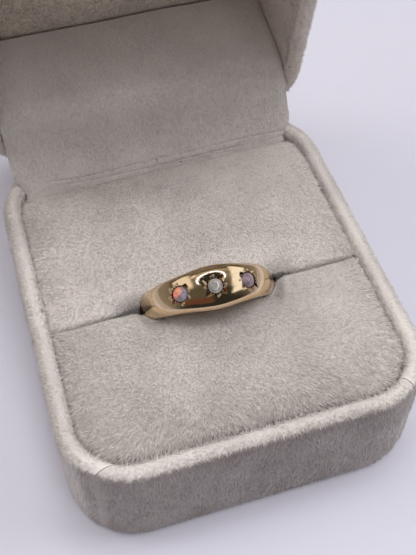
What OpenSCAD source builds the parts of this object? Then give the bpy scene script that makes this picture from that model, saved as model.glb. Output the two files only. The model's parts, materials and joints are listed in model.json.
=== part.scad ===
// A gypsy ring with three flush set opals, standing in the slot of its hinged ring box.
// Millimetres. The box rests on the plane z = 0, centred on the origin, front towards -Y.
// The lid is drawn open, and what belongs to it is first placed as if the box were shut.

/* [Box] */
// Width of the box, side to side
box_w = 50; // [46:1:64]
// Depth of the box, front to back
box_d = 56.6; // [52:0.2:72]
// Height of the base, from the table to its rim
base_h = 17.6; // [16.5:0.1:24]
// Height of the lid, from its rim to its top
lid_h = 21; // [17:0.5:28]
// Outer radius of the upright corners
corner_r = 9.6; // [7:0.2:13]
// Thickness of the cloth covered walls
wall_t = 2.4; // [1.8:0.1:3]
// Thickness of the floor and of the top of the lid
floor_t = 2; // [1.4:0.1:3]
// Rounding of the edge that meets the table, and of the top edge of the lid
edge_r = 1; // [0.4:0.1:1.4]

/* [Hinge] */
// Angle between the shut lid and the open one
open_angle = 77; // [60:1:100]
// Gap between the two rims when the box is shut
rim_gap = 0.3; // [0.2:0.05:0.6]
// How far the hinge axis lies inside the back face
hinge_in = 0.8; // [0.6:0.05:1]
// How far the hinge axis lies below the rim of the base
hinge_drop = 1.2; // [1.2:0.05:1.6]
// Radius of the pin
pin_r = 0.5; // [0.3:0.05:0.6]
// Running clearance between the pin and its holes
pin_play = 0.05; // [0.02:0.01:0.1]
// Outer radius of the knuckles
knuckle_r = 1.2; // [1:0.05:1.2]
// Length of the lid's knuckle, in the middle of the back
lid_knuckle_l = 14; // [8:1:18]
// Length of the base's knuckle on either side of it
base_knuckle_l = 6; // [4:0.5:7]
// Gap around the lid's knuckle
hinge_gap = 0.3; // [0.2:0.05:0.5]

/* [Pads] */
// How far the upper edge of the pads lies below the rim
pad_drop = 0.7; // [0.2:0.1:1.5]
// How far each pad swells above its own edge
pad_dome = 0.8; // [0.2:0.1:1.5]
// Radius of the roll along the edges of the pads
pad_roll = 2.2; // [1:0.1:3]
// Radius of the roll along the slot
slot_roll = 1.3; // [0.6:0.1:2]
// Distance of the slot in front of the middle of the box
slot_in_front = 3.8; // [2:0.2:6]
// Width of the slot between the two pads
slot_w = 0.7; // [0.4:0.1:1.2]
// Depth of the strip behind the back pad, from the crease to the back face
crease_in = 7; // [6:0.2:9]
// Gap between a soft piece and what lies beside it
soft_gap = 0.3; // [0.2:0.05:0.5]
// Thickness of the pad that lines the top of the lid
lid_pad_t = 1.6; // [1:0.1:3]
// How far the lining pad swells
lid_pad_dome = 0.6; // [0.2:0.1:1.2]

/* [Hinge cover] */
// Thickness of the cloth strip over the hinge
cover_t = 1.1; // [1:0.1:1.6]
// Height of the strip above the back wall of the lid, measured inside the lid
cover_s = 10.4; // [9.8:0.1:12]
// Depth in the lid at which the strip bends
cover_bend = 2.2; // [1:0.1:4]
// Radius of that bend
cover_r = 6; // [3:0.5:9]

/* [Ring] */
// Radius of the bore
bore_r = 8.6; // [8:0.05:9]
// Width of the crown between its edges
crown_w = 6; // [5:0.1:7]
// Width at the back of the band
shank_w = 2.5; // [2:0.1:3]
// Thickness at the middle of the crown
crown_t = 2.15; // [1.8:0.05:2.6]
// Thickness at the back of the band
shank_t = 1.2; // [1:0.05:1.5]
// Swell of the crown from its edges to its middle line
crown_dome = 0.55; // [0.3:0.05:0.8]
// Rounding of the outer edges
ring_edge_r = 0.4; // [0.2:0.05:0.6]
// Forward lean of the ring in the slot
ring_lean = 29; // [20:1:34]
// Turn of the ring about the upright
ring_yaw = -2.7; // [-5:0.1:5]
// Height of the centre of the ring above the table
ring_h = 13.7; // [13:0.1:15]
// Sideways place of the centre of the ring
ring_x = 0.2; // [-2:0.1:2]
// Gap between the ring and the pads
ring_gap = 0.35; // [0.2:0.05:0.6]

/* [Stones] */
// Radius of each opal
stone_r = 1.03; // [0.8:0.01:1.15]
// Height of an opal's straight girdle
girdle_h = 0.62; // [0.4:0.01:0.7]
// Height of the cabochon above the girdle
cab_h = 0.4; // [0.2:0.01:0.5]
// Angle between two stones, seen along the finger
stone_angle = 26.5; // [25:0.5:29]
// Clearance round each stone
stone_gap = 0.03; // [0.02:0.01:0.05]
// Depth of a seat below the surface of the crown
seat_depth = 0.7; // [0.5:0.01:0.8]
// Reach of the cut rays from the middle of the stone
ray_reach = 2; // [1.8:0.05:2.1]
// Half of the width of a ray at the stone
ray_half_w = 0.42; // [0.3:0.01:0.5]
// Depth of a ray at the stone
ray_depth = 0.42; // [0.2:0.01:0.5]
// Angle of the rays from the line through the stones
ray_angle = 40; // [36:1:48]
// Radius of the raised grains between the rays
grain_r = 0.24; // [0.15:0.01:0.3]
// Distance of the grains from the middle of the stone
grain_at = 1.45; // [1.4:0.01:1.5]

/* [Hidden] */
$fn = 48;

cloth = [0.72, 0.68, 0.66];
cloth_pad = [0.73, 0.69, 0.67];
gold = [0.80, 0.66, 0.42];
steel = [0.70, 0.70, 0.72];
opal_flash = [0.78, 0.62, 0.62];
opal_milk = [0.66, 0.66, 0.66];
opal_mauve = [0.62, 0.58, 0.68];

// places that follow from the sizes
hinge_y = box_d / 2 - hinge_in;
hinge_z = base_h - hinge_drop;
inner_w = box_w - 2 * wall_t;
inner_r = corner_r - wall_t;
inner_y = box_d / 2 - wall_t;
slot_y = -slot_in_front;
crease_y = box_d / 2 - crease_in;
pad_edge_z = base_h - pad_drop;
lid_rim_z = base_h + rim_gap;
lid_pad_face = lid_h - floor_t - lid_pad_t - lid_pad_dome;

// the ring's plane goes through the mouth of the slot
ring_y = slot_y + (pad_edge_z - ring_h) * tan(ring_lean);

// band of the ring, from the crown to the back:
// angle from the crown, share of the crown's extra width, share of its extra thickness
BAND = [[0, 1.00, 1.00],
        [30, 0.71, 0.92],
        [60, 0.48, 0.60],
        [90, 0.14, 0.36],
        [120, 0.04, 0.15],
        [150, 0.00, 0.03],
        [180, 0.00, 0.00]];
band_step = 30;
ring_steps = 72;

// top of the band's section: share of the half width, share of the edge's rounding
TOP = [[0, 0], [0.3, 0], [0.55, 0], [0.75, 0.02], [0.88, 0.15], [0.96, 0.45], [1, 1]];

// swell of a pad past its rolled edge: share of the way in, share of the dome
SWELL = [[0.15, 0.45], [0.4, 0.82], [0.75, 1.0]];
swell_reach = 0.8;
corner_steps = 6;
roll_steps = 4;

function lerp(a, b, t) = a + (b - a) * t;

// a smooth curve through one column of BAND, the same on both sides of the crown
function band_row(i) = BAND[i < 0 ? -i : (i >= len(BAND) ? 2 * len(BAND) - 2 - i : i)];
function smooth(p, q, r, s, t) =
    q + t * ((r - p) / 2 + t * ((2 * p - 5 * q + 4 * r - s) / 2
      + t * (3 * q - p - 3 * r + s) / 2));
function band_share(a, column) =
    let (x = abs(a) / band_step, i = min(floor(x), len(BAND) - 2), t = x - i)
    smooth(band_row(i - 1)[column], band_row(i)[column],
           band_row(i + 1)[column], band_row(i + 2)[column], t);
function band_w(a) = lerp(shank_w, crown_w, band_share(a, 1));
function band_t(a) = lerp(shank_t, crown_t, band_share(a, 2));
function band_r(a) = bore_r + band_t(a);

// section of the band at one angle, as [across, radius]; its inner side is cut by the bore
function band_section(a) =
    let (half = band_w(a) / 2, swell = crown_dome * band_w(a) / crown_w,
         top = [for (p = TOP) [half * p[0], band_r(a) - swell * p[0] * p[0] - ring_edge_r * p[1]]],
         under = bore_r - shank_t / 2)
    concat([for (i = [len(top) - 1:-1:1]) [-top[i][0], top[i][1]]], top,
           [[half, under], [-half, under]]);

// Solid between rings of points; every ring has the same number of points, which run
// clockwise as seen along the loft. A closed loft joins the last ring to the first, an
// open one gets two flat ends.
module loft(rings, closed = false) {
    n = len(rings[0]);
    m = len(rings);
    points = [for (r = rings) for (p = r) p];
    sides = [for (i = [0:(closed ? m - 1 : m - 2)]) for (j = [0:n - 1])
             let (i2 = (i + 1) % m, j2 = (j + 1) % n)
             each [[i * n + j, i2 * n + j2, i * n + j2], [i * n + j, i2 * n + j, i2 * n + j2]]];
    ends = closed ? [] : [[for (j = [0:n - 1]) j], [for (j = [n - 1:-1:0]) (m - 1) * n + j]];
    polyhedron(points, concat(sides, ends), convexity = 6);
}

// plan of a box or of its inside
module plan(w, d, r) {
    square([w - 2 * r, d], center = true);
    square([w, d - 2 * r], center = true);
    for (x = [-1, 1]) for (y = [-1, 1])
        translate([x * (w / 2 - r), y * (d / 2 - r)]) circle(r);
}

// section of a wall: outer face away from the axis, a round rim, a softened foot
module wall_section(h) {
    square([wall_t - edge_r, h - wall_t / 2]);
    translate([0, edge_r]) square([wall_t, h - wall_t / 2 - edge_r]);
    translate([wall_t - edge_r, edge_r]) circle(edge_r);
    translate([wall_t / 2, h - wall_t / 2]) circle(wall_t / 2);
}

// one straight wall, its outer face at the distance out from the middle
module straight_wall(l, out, h) {
    translate([out - wall_t, l / 2, 0]) rotate([90, 0, 0])
        linear_extrude(l) wall_section(h);
}

// tray with a flat bottom, open at the top
module tray(h) {
    side_l = box_d - 2 * corner_r;
    front_l = box_w - 2 * corner_r;
    for (a = [0, 180]) {
        rotate([0, 0, a]) straight_wall(side_l, box_w / 2, h);
        rotate([0, 0, a + 90]) straight_wall(front_l, box_d / 2, h);
    }
    for (i = [0:3]) {
        x = (i == 0 || i == 3) ? 1 : -1;
        y = i < 2 ? 1 : -1;
        translate([x * (box_w / 2 - corner_r), y * (box_d / 2 - corner_r), 0])
            rotate([0, 0, 90 * i]) rotate_extrude(angle = 90)
            translate([corner_r - wall_t, 0]) wall_section(h);
    }
    linear_extrude(floor_t) plan(box_w - wall_t, box_d - wall_t, corner_r - wall_t / 2);
}

// cylinder along the hinge axis
module on_hinge(r, x0, x1) {
    translate([x0, hinge_y, hinge_z]) rotate([0, 90, 0]) cylinder(r = r, h = x1 - x0);
}

// what belongs to the lid, turned from the shut place to the open one
module opened() {
    translate([0, hinge_y, hinge_z]) rotate([-open_angle, 0, 0])
        translate([0, -hinge_y, -hinge_z]) children();
}

module base_shell() {
    notch = lid_knuckle_l / 2 + hinge_gap;
    reach = notch + base_knuckle_l;
    color(cloth) difference() {
        union() {
            tray(base_h);
            on_hinge(knuckle_r, -reach, reach);
        }
        translate([-notch, inner_y - wall_t, hinge_z - knuckle_r - hinge_gap])
            cube([2 * notch, 3 * wall_t, base_h]);
        on_hinge(pin_r + pin_play, -reach - pin_r, reach + pin_r);
    }
}

module lid_shell() {
    half = lid_knuckle_l / 2;
    web_d = knuckle_r + hinge_in - pin_r / 2;
    color(cloth) opened() difference() {
        union() {
            translate([0, 0, lid_rim_z + lid_h]) mirror([0, 0, 1]) tray(lid_h);
            on_hinge(knuckle_r, -half, half);
            translate([-half, hinge_y - knuckle_r, hinge_z])
                cube([2 * half, web_d, lid_rim_z - hinge_z + wall_t * 0.75]);
        }
        on_hinge(pin_r + pin_play, -half - pin_r, half + pin_r);
    }
}

module hinge_pin() {
    reach = lid_knuckle_l / 2 + hinge_gap + base_knuckle_l;
    color(steel) on_hinge(pin_r, -reach, reach);
}

// Outline of a pad at one height. It reaches from y0 to y1 and has one radius at the
// corners on y0 and one at those on y1.
function pad_outline(half_w, y0, y1, r0, r1, z) =
    let (most = min(half_w, (y1 - y0) / 2) * 0.9, q0 = min(r0, most), q1 = min(r1, most),
         corners = [[half_w - q1, y1 - q1, q1, 0], [-half_w + q1, y1 - q1, q1, 90],
                    [-half_w + q0, y0 + q0, q0, 180], [half_w - q0, y0 + q0, q0, 270]])
    [for (c = corners) for (k = [0:corner_steps - 1])
        let (a = c[3] + 90 * k / (corner_steps - 1)) [c[0] + c[2] * cos(a), c[1] + c[2] * sin(a), z]];

// Cushion with rolled edges and a domed top. n0 and n1 are the rolls on y0 and y1, and
// the sides roll as y0 does.
module cushion(half_w, y0, y1, r0, r1, n0, n1, z0, edge_z, dome) {
    least = 0.3;
    mid_x = half_w - n0;
    mid_y = (y1 - y0 - n0 - n1) / 2;
    rolls = [for (k = [0:roll_steps]) let (a = 90 * k / roll_steps) [1 - cos(a), 1 - sin(a)]];
    loft(concat(
        [pad_outline(half_w, y0, y1, r0, r1, z0)],
        [for (p = rolls) pad_outline(half_w - n0 * p[0], y0 + n0 * p[0], y1 - n1 * p[0],
             max(least, r0 - n0 * p[0]), max(least, r1 - n1 * p[0]), edge_z - n0 * p[1])],
        [for (s = SWELL) let (t = swell_reach * s[0])
             pad_outline(half_w - n0 - mid_x * t, y0 + n0 + mid_y * t, y1 - n1 - mid_y * t,
                 max(least, r0 - n0), max(least, r1 - n1), edge_z + dome * s[1])]));
}

module ring_place() {
    translate([ring_x, ring_y, ring_h]) rotate([0, 0, ring_yaw]) rotate([ring_lean, 0, 0])
        children();
}

// room for the band in the foam
module ring_pocket() {
    half = band_w(60) / 2 + ring_gap;
    ring_place() rotate([90, 0, 0]) rotate_extrude()
        translate([bore_r - ring_gap, -half]) square([band_t(60) + 2 * ring_gap, 2 * half]);
}

module pad_front() {
    half_w = inner_w / 2 - soft_gap;
    color(cloth_pad) difference() {
        cushion(half_w, -inner_y + soft_gap, slot_y - slot_w / 2, inner_r - soft_gap, slot_roll,
                pad_roll, slot_roll, floor_t, pad_edge_z, pad_dome);
        ring_pocket();
    }
}

// the ledge behind the crease carries the foot of the hinge cover
module pad_back() {
    half_w = inner_w / 2 - soft_gap;
    ledge_z = pad_edge_z - pad_roll - soft_gap;
    ledge_y = inner_y - soft_gap;
    color(cloth_pad) difference() {
        union() {
            mirror([0, 1, 0])
                cushion(half_w, -crease_y, -slot_y - slot_w / 2, slot_roll, slot_roll,
                        slot_roll, slot_roll, floor_t, pad_edge_z, pad_dome);
            translate([0, 0, floor_t]) linear_extrude(ledge_z - floor_t) intersection() {
                plan(2 * half_w, 2 * ledge_y, inner_r - soft_gap);
                translate([-half_w, crease_y - inner_r])
                    square([2 * half_w, ledge_y - crease_y + inner_r]);
            }
        }
        ring_pocket();
    }
}

module lid_pad() {
    half_w = inner_w / 2 - soft_gap;
    half_d = inner_y - soft_gap;
    roll = lid_pad_t / 2;
    color(cloth) opened() translate([0, 0, lid_rim_z + lid_h - floor_t]) mirror([0, 0, 1])
        cushion(half_w, -half_d, half_d, inner_r - soft_gap, inner_r - soft_gap,
                roll, roll, 0, lid_pad_t, lid_pad_dome);
}

// a place in the lid, as [y, z] when open: s above its back face, d deep from its rim
function in_lid(s, d) =
    let (y = box_d / 2 - s - hinge_y, z = lid_rim_z + d - hinge_z)
    [hinge_y + y * cos(open_angle) + z * sin(open_angle),
     hinge_z - y * sin(open_angle) + z * cos(open_angle)];

// middle line of the hinge cover: foot on the ledge, waist between the rims, one round
// bend, end at the lining pad
cover_foot = [crease_y + soft_gap + cover_t / 2, pad_edge_z - pad_roll + cover_t / 4];
cover_knee = in_lid(cover_s, cover_bend);
cover_end = in_lid(cover_s, lid_pad_face - soft_gap);
cover_rise = (cover_knee - cover_foot) / norm(cover_knee - cover_foot);
cover_waist = cover_foot + cover_rise * (base_h - wall_t / 4 - cover_foot[1]) / cover_rise[1];
function cover_line() =
    let (u = -cover_rise, v = (cover_end - cover_knee) / norm(cover_end - cover_knee),
         turn = 180 - acos(u * v), back = cover_r * tan(turn / 2),
         n = (v - u * (u * v)) / norm(v - u * (u * v)),
         centre = cover_knee + u * back + n * cover_r)
    concat([cover_foot, cover_waist],
           [for (k = [0:5]) let (a = turn * k / 5) centre - n * cover_r * cos(a) - u * cover_r * sin(a)],
           [cover_end]);

// half of the width that the round corners of the base leave at a distance y from the middle
function corner_half(y) =
    inner_w / 2 - inner_r + sqrt(max(0, pow(inner_r, 2) - pow(y - inner_y + inner_r, 2))) - soft_gap;

module hinge_cover() {
    line = cover_line();
    last = len(line) - 1;
    end_half = inner_w / 2 - soft_gap;
    waist_half = corner_half(cover_waist[0] + cover_t);
    color(cloth) loft([for (i = [0:last])
        let (a = line[max(0, i - 1)], b = line[min(last, i + 1)], t = (b - a) / norm(b - a),
             out = [-t[1], t[0]] * cover_t / 2, p = line[i],
             up = (p[1] - cover_waist[1]) / (cover_end[1] - cover_waist[1]),
             half = i == 0 ? corner_half(cover_foot[0] + cover_t) : lerp(waist_half, end_half, up))
        [[-half, p[0] + out[0], p[1] + out[1]], [half, p[0] + out[0], p[1] + out[1]],
         [half, p[0] - out[0], p[1] - out[1]], [-half, p[0] - out[0], p[1] - out[1]]]]);
}

// the surface of the crown at one stone, with Z out of the metal and X along the band
module at_stone(a) {
    rotate([0, a, 0]) translate([0, 0, band_r(a)]) children();
}

// one ray of the star, cut with its point on the surface
module ray() {
    lift = 0.3;
    near = stone_r * 0.8;
    widen = ray_half_w * (ray_depth + lift) / ray_depth;
    drop = ray_reach * ray_reach / (2 * band_r(0)) * 1.1;
    loft([[[near, -widen, lift], [near, 0, -ray_depth], [near, widen, lift]],
          [[ray_reach, -0.02, 0.02 - drop], [ray_reach, 0, -drop], [ray_reach, 0.02, 0.02 - drop]]]);
}

module grain() {
    drop = grain_at * grain_at / (2 * band_r(0));
    translate([grain_at, 0, -drop]) sphere(grain_r, $fn = 24);
}

module ring() {
    stones = [-stone_angle, 0, stone_angle];
    color(gold) ring_place() difference() {
        union() {
            loft([for (i = [0:ring_steps - 1]) let (a = 180 - 360 * i / ring_steps)
                  [for (p = band_section(a)) [p[1] * sin(a), p[0], p[1] * cos(a)]]], closed = true);
            for (a = stones) at_stone(a) for (q = [0:90:270]) rotate([0, 0, q]) grain();
        }
        rotate([90, 0, 0]) cylinder(r = bore_r, h = 2 * crown_w, center = true, $fn = 96);
        for (a = stones) at_stone(a) {
            translate([0, 0, -seat_depth]) cylinder(r = stone_r + stone_gap, h = 2 * seat_depth);
            for (q = [-1, 1]) for (side = [0, 180]) rotate([0, 0, side + q * ray_angle]) ray();
        }
    }
}

// cabochon on the floor of its seat
module opal(a, tint) {
    ball = (stone_r * stone_r + cab_h * cab_h) / (2 * cab_h);
    color(tint) ring_place() at_stone(a) translate([0, 0, -seat_depth]) intersection() {
        cylinder(r = stone_r, h = girdle_h + cab_h);
        translate([0, 0, girdle_h + cab_h - ball]) sphere(ball, $fn = 96);
    }
}

module opal_left() { opal(-stone_angle, opal_flash); }
module opal_centre() { opal(0, opal_milk); }
module opal_right() { opal(stone_angle, opal_mauve); }

base_shell();
pad_front();
pad_back();
hinge_pin();
ring();
opal_left();
opal_centre();
opal_right();
lid_shell();
lid_pad();
hinge_cover();
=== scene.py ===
"""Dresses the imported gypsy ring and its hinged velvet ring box: cloth, pile, gold and opals."""
import json
import math

import bmesh
import bpy
import numpy as np
from bpy.props import FloatProperty, FloatVectorProperty, PointerProperty
from mathutils import Matrix, Vector
from mathutils.bvhtree import BVHTree


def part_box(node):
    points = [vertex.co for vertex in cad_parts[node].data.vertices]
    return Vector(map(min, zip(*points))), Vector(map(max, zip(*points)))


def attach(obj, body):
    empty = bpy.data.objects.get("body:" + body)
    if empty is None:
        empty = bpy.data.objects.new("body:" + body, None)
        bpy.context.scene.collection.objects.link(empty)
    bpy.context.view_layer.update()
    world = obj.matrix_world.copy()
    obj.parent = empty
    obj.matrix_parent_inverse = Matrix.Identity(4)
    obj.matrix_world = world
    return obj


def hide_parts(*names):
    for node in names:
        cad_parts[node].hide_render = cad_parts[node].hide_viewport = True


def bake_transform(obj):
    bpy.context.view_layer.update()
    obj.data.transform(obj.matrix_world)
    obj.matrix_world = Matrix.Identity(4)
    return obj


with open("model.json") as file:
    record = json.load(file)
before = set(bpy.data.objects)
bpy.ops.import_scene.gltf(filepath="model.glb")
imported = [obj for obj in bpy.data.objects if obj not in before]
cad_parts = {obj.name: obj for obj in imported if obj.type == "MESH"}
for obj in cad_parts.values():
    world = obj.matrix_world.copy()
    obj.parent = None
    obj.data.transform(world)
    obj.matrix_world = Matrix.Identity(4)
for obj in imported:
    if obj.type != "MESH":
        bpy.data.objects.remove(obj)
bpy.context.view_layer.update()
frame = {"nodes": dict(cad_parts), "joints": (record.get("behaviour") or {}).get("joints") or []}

bl_info = {
    "name": "Gypsy ring in a velvet ring box",
    "version": (1, 0, 0),
    "blender": (4, 5, 0),
    "location": "View3D > Sidebar > Ring box",
    "description": "Cloth, pile, gold and opals around the frame of a hinged ring box",
    "category": "Object",
}

MM = 0.001

# places that the frame gives
HINGE = Vector(frame["joints"][0]["pos_m"])
OPEN_ANGLE = math.radians(frame["joints"][0]["range_deg"][1])
BOX_LOW, BOX_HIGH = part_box("base_shell")
BOX_WIDTH = BOX_HIGH.x - BOX_LOW.x
BOX_DEPTH = -2 * BOX_LOW.y
HALF_WIDTH, HALF_DEPTH = BOX_WIDTH / 2, BOX_DEPTH / 2
BASE_HEIGHT = BOX_HIGH.z


def length(name, description, default_mm):
    """A length that a user may set, with its default in millimetres."""
    return FloatProperty(name=name, description=description, default=default_mm * MM,
                         precision=5, subtype="DISTANCE", unit="LENGTH")


def angle(name, description, default_degrees):
    return FloatProperty(name=name, description=description,
                         default=math.radians(default_degrees), subtype="ANGLE", unit="ROTATION")


def share(name, description, default):
    return FloatProperty(name=name, description=description, default=default, subtype="FACTOR")


def colour(name, description, default):
    return FloatVectorProperty(name=name, description=description, default=default,
                               size=3, min=0, max=1, subtype="COLOR")


class RINGBOX_PG_box(bpy.types.PropertyGroup):
    """Sizes of the box, its pads and the strip over its hinge"""
    corner: length("Corner", "Outer radius of the upright corners", 9.6)
    wall: length("Wall", "Thickness of the cloth covered walls", 2.4)
    floor: length("Floor", "Thickness of the floor and of the top of the lid", 2.0)
    foot_round: length("Foot rounding", "Rounding of the edge on the table", 1.0)
    lid_height: length("Lid height", "Height of the lid, from its rim to its top", 21.0)
    rim_gap: length("Rim gap", "Gap between the two rims when the box is shut", 0.3)
    knuckle: length("Knuckle", "Outer radius of the hinge's knuckles", 1.2)
    lid_knuckle: length("Lid knuckle", "Length of the lid's knuckle", 14.0)
    base_knuckle: length("Base knuckle", "Length of each of the base's knuckles", 6.0)
    knuckle_gap: length("Knuckle gap", "Gap between two knuckles", 0.3)
    soft_gap: length("Soft gap", "Gap between a soft piece and what lies beside it", 0.3)
    pad_drop: length("Pad drop", "How far the pads' upper edge lies below the rim", 0.7)
    pad_dome: length("Pad swell", "How far each pad swells above its edge", 0.8)
    pad_roll: length("Pad roll", "Radius of the roll along the pads' edges", 2.2)
    slot_roll: length("Slot roll", "Radius of the roll along the slot", 1.3)
    slot_front: length("Slot place", "Distance of the slot in front of the middle", 3.8)
    crease_in: length("Crease", "Depth of the strip behind the back pad", 7.0)
    lid_pad: length("Lid pad", "Thickness of the pad in the top of the lid", 1.6)
    lid_pad_dome: length("Lid pad swell", "How far the lid's pad swells", 0.6)
    strip_thick: length("Strip", "Thickness of the strip over the hinge", 1.1)
    strip_high: length("Strip height", "Height of the strip above the lid's back wall", 10.4)
    strip_bend: length("Strip bend", "Depth in the lid at which the strip bends", 2.2)
    strip_radius: length("Strip radius", "Radius of the strip's bend", 6.0)


class RINGBOX_PG_ring(bpy.types.PropertyGroup):
    """Sizes of the ring and its stones"""
    bore: length("Bore", "Radius of the bore", 8.6)
    crown_width: length("Crown width", "Width of the crown between its edges", 6.0)
    shank_width: length("Shank width", "Width at the back of the band", 2.5)
    crown_thick: length("Crown thickness", "Thickness at the middle of the crown", 2.15)
    shank_thick: length("Shank thickness", "Thickness at the back of the band", 1.2)
    crown_swell: length("Crown swell", "Swell of the crown across its width", 0.55)
    edge_round: length("Edge rounding", "Rounding of the outer edges", 0.4)
    crown_step: length("Crown step", "Height of the soft bevel round the crown", 0.25)
    lean: angle("Lean", "Forward lean of the ring in the slot", 29)
    yaw: angle("Turn", "Turn of the ring about the upright", -2.7)
    height: length("Height", "Height of the ring's centre above the table", 13.7)
    aside: length("Aside", "Sideways place of the ring's centre", 0.2)
    stone: length("Stone", "Radius of each opal", 1.0)
    girdle: length("Girdle", "Height of an opal's straight girdle", 0.62)
    cabochon: length("Cabochon", "Height of an opal above its girdle", 0.4)
    stone_step: angle("Stone step", "Angle between two stones", 26.5)
    seat: length("Seat", "Depth of a stone's seat", 0.7)
    ray_reach: length("Ray reach", "Reach of the cut rays from a stone's middle", 2.0)
    ray_half: length("Ray half width", "Half width of a ray at the stone", 0.52)
    ray_deep: length("Ray depth", "Depth of a ray at the stone", 0.21)
    ray_turn: angle("Ray angle", "Angle of the rays from the line of the stones", 40)
    grain: length("Grain", "Radius of the raised grains", 0.28)
    grain_out: length("Grain place", "Distance of the grains from a stone's middle", 1.45)


class RINGBOX_PG_finish(bpy.types.PropertyGroup):
    """Colours and pile of the cloth, and the colours of gold and opals"""
    cloth_deep: colour("Cloth, deep", "Colour between the hairs of the plush", (0.46, 0.418, 0.395))
    cloth_light: colour("Cloth, light", "Colour of the plush's lit hairs", (0.84, 0.783, 0.745))
    pile_length: length("Pile length", "Length of the hairs on the pads", 0.50)
    pile_width: length("Pile width", "Width of a lock of hair", 0.105)
    gold: colour("Gold", "Colour of the yellow gold", (0.86, 0.68, 0.465))
    steel: colour("Steel", "Colour of the hinge pin", (0.55, 0.55, 0.56))
    opal_flash: colour("Left opal", "Body colour of the left opal", (0.31, 0.25, 0.285))
    opal_milk: colour("Middle opal", "Body colour of the middle opal", (0.39, 0.36, 0.315))
    opal_mauve: colour("Right opal", "Body colour of the right opal", (0.285, 0.205, 0.235))


class RINGBOX_PG_stage(bpy.types.PropertyGroup):
    """Floor, light and camera"""
    floor: colour("Floor", "Colour of the table", (0.69, 0.68, 0.775))
    floor_size: FloatProperty(name="Floor size", description="Side of the floor",
                              default=3.0, subtype="DISTANCE", unit="LENGTH")
    above: share("Light above", "Brightness of the lamp above", 0.335)
    front: share("Light in front", "Brightness of the lamp in front", 0.24)
    left: share("Light left", "Brightness of the left window", 0.13)
    right: share("Light right", "Brightness of the right window", 0.20)
    low: share("Light low", "Brightness of the low lamp in front", 0.03)
    lens: FloatProperty(name="Lens", description="Focal length on a 36 mm side, in millimetres",
                        default=57.63)


# modelling helpers

def settings(context):
    """The sizes of the box and of the ring, and the colours of their finishes."""
    scene = context.scene
    return scene.ringbox_box, scene.ringbox_ring, scene.ringbox_finish


def deselect():
    if bpy.context.object and bpy.context.object.mode != "OBJECT":
        bpy.ops.object.mode_set(mode="OBJECT")
    bpy.ops.object.select_all(action="DESELECT")


def named(name):
    """Gives the newest primitive its name."""
    obj = bpy.context.object
    obj.name = obj.data.name = name
    return obj


def choose(*objs):
    """Selects these objects alone, the last one active."""
    deselect()
    for obj in objs:
        obj.select_set(True)
    bpy.context.view_layer.objects.active = objs[-1]


def placed(mesh):
    """A new object in the scene for a mesh, of the same name."""
    obj = bpy.data.objects.new(mesh.name, mesh)
    bpy.context.scene.collection.objects.link(obj)
    return obj


class Shaping:
    """Edit mode on one object, with vertices, edges and faces picked by a test."""

    def __init__(self, obj):
        self.obj = obj

    def __enter__(self):
        choose(self.obj)
        bpy.ops.object.mode_set(mode="EDIT")
        return self

    def __exit__(self, *_):
        bpy.ops.object.mode_set(mode="OBJECT")

    def pick(self, kind, test):
        bpy.ops.mesh.select_mode(type=kind)
        bpy.ops.mesh.select_all(action="DESELECT")
        cage = bmesh.from_edit_mesh(self.obj.data)
        cage.normal_update()
        for part in {"VERT": cage.verts, "EDGE": cage.edges, "FACE": cage.faces}[kind]:
            if test(part):
                part.select_set(True)
        cage.select_flush_mode()
        bmesh.update_edit_mesh(self.obj.data)

    def face_out(self, merge=False):
        """Turns all faces outwards, with doubled points merged first where asked."""
        bpy.ops.mesh.select_all(action="SELECT")
        if merge:
            bpy.ops.mesh.remove_doubles(threshold=0.001 * MM)
        bpy.ops.mesh.normals_make_consistent(inside=False)


def settle(obj, matrix=None):
    """Puts the object's place into its mesh, so that its origin is the frame's."""
    if matrix is not None:
        obj.matrix_world = matrix @ obj.matrix_world
    choose(obj)
    bpy.ops.object.transform_apply(location=True, rotation=True, scale=True)


def modify(obj, kind, **settings):
    """Adds a modifier and applies it."""
    choose(obj)
    modifier = obj.modifiers.new(kind.lower(), kind)
    for key, value in settings.items():
        setattr(modifier, key, value)
    bpy.ops.object.modifier_apply(modifier=modifier.name)


def join(target, *others):
    choose(*others, target)
    bpy.ops.object.join()


def smooth(obj, degrees=40):
    choose(obj)
    bpy.ops.object.shade_smooth_by_angle(angle=math.radians(degrees))


def points_of(obj):
    points = np.empty(len(obj.data.vertices) * 3)
    obj.data.vertices.foreach_get("co", points)
    return points.reshape(-1, 3)


def move_points(obj, points):
    obj.data.vertices.foreach_set("co", points.ravel())
    obj.data.update()


def moved(points, matrix):
    """The points after a matrix."""
    turn = np.array(matrix.to_3x3())
    return points @ turn.T + np.array(matrix.translation)


def unit(vectors):
    return vectors / np.maximum(np.linalg.norm(vectors, axis=1), 1e-12)[:, None]


def ease(values, low, high):
    """0 below low, 1 above high and smooth between them."""
    t = np.clip((values - low) / (high - low), 0, 1)
    return t * t * (3 - 2 * t)


def ramp(values, low, high):
    """The same, with both ends in millimetres."""
    return ease(values, low * MM, high * MM)


def bell(values, middle, wide):
    """1 in the middle, falling softly to 0 on both sides."""
    return np.exp(-((values - middle) / wide) ** 2)


def spot(points, middle, reach):
    """1 at a place seen from above, falling softly over its reach in mm along X and Y."""
    away = (points[:, :2] - middle) / MM / reach
    return np.exp(-(away ** 2).sum(1))


def asked(value, *found):
    """A plain value, or a function's answer for the places that were found."""
    return value(*found) if callable(value) else value


def tinted(colour, factors):
    """A colour times one factor, or times one for each channel."""
    return tuple(np.multiply(colour, factors))


def waves(points, size, seed, count=7):
    """Smooth wandering values from about -1 to 1, with hills of about that size."""
    rng = np.random.default_rng(seed)
    total = np.zeros(len(points))
    for _ in range(count):
        way = unit(rng.normal(size=(1, 3)))[0] * rng.uniform(0.6, 1.5) * math.pi / size
        total += np.sin(points @ way + rng.uniform(0, 2 * math.pi))
    return total / math.sqrt(count)


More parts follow.
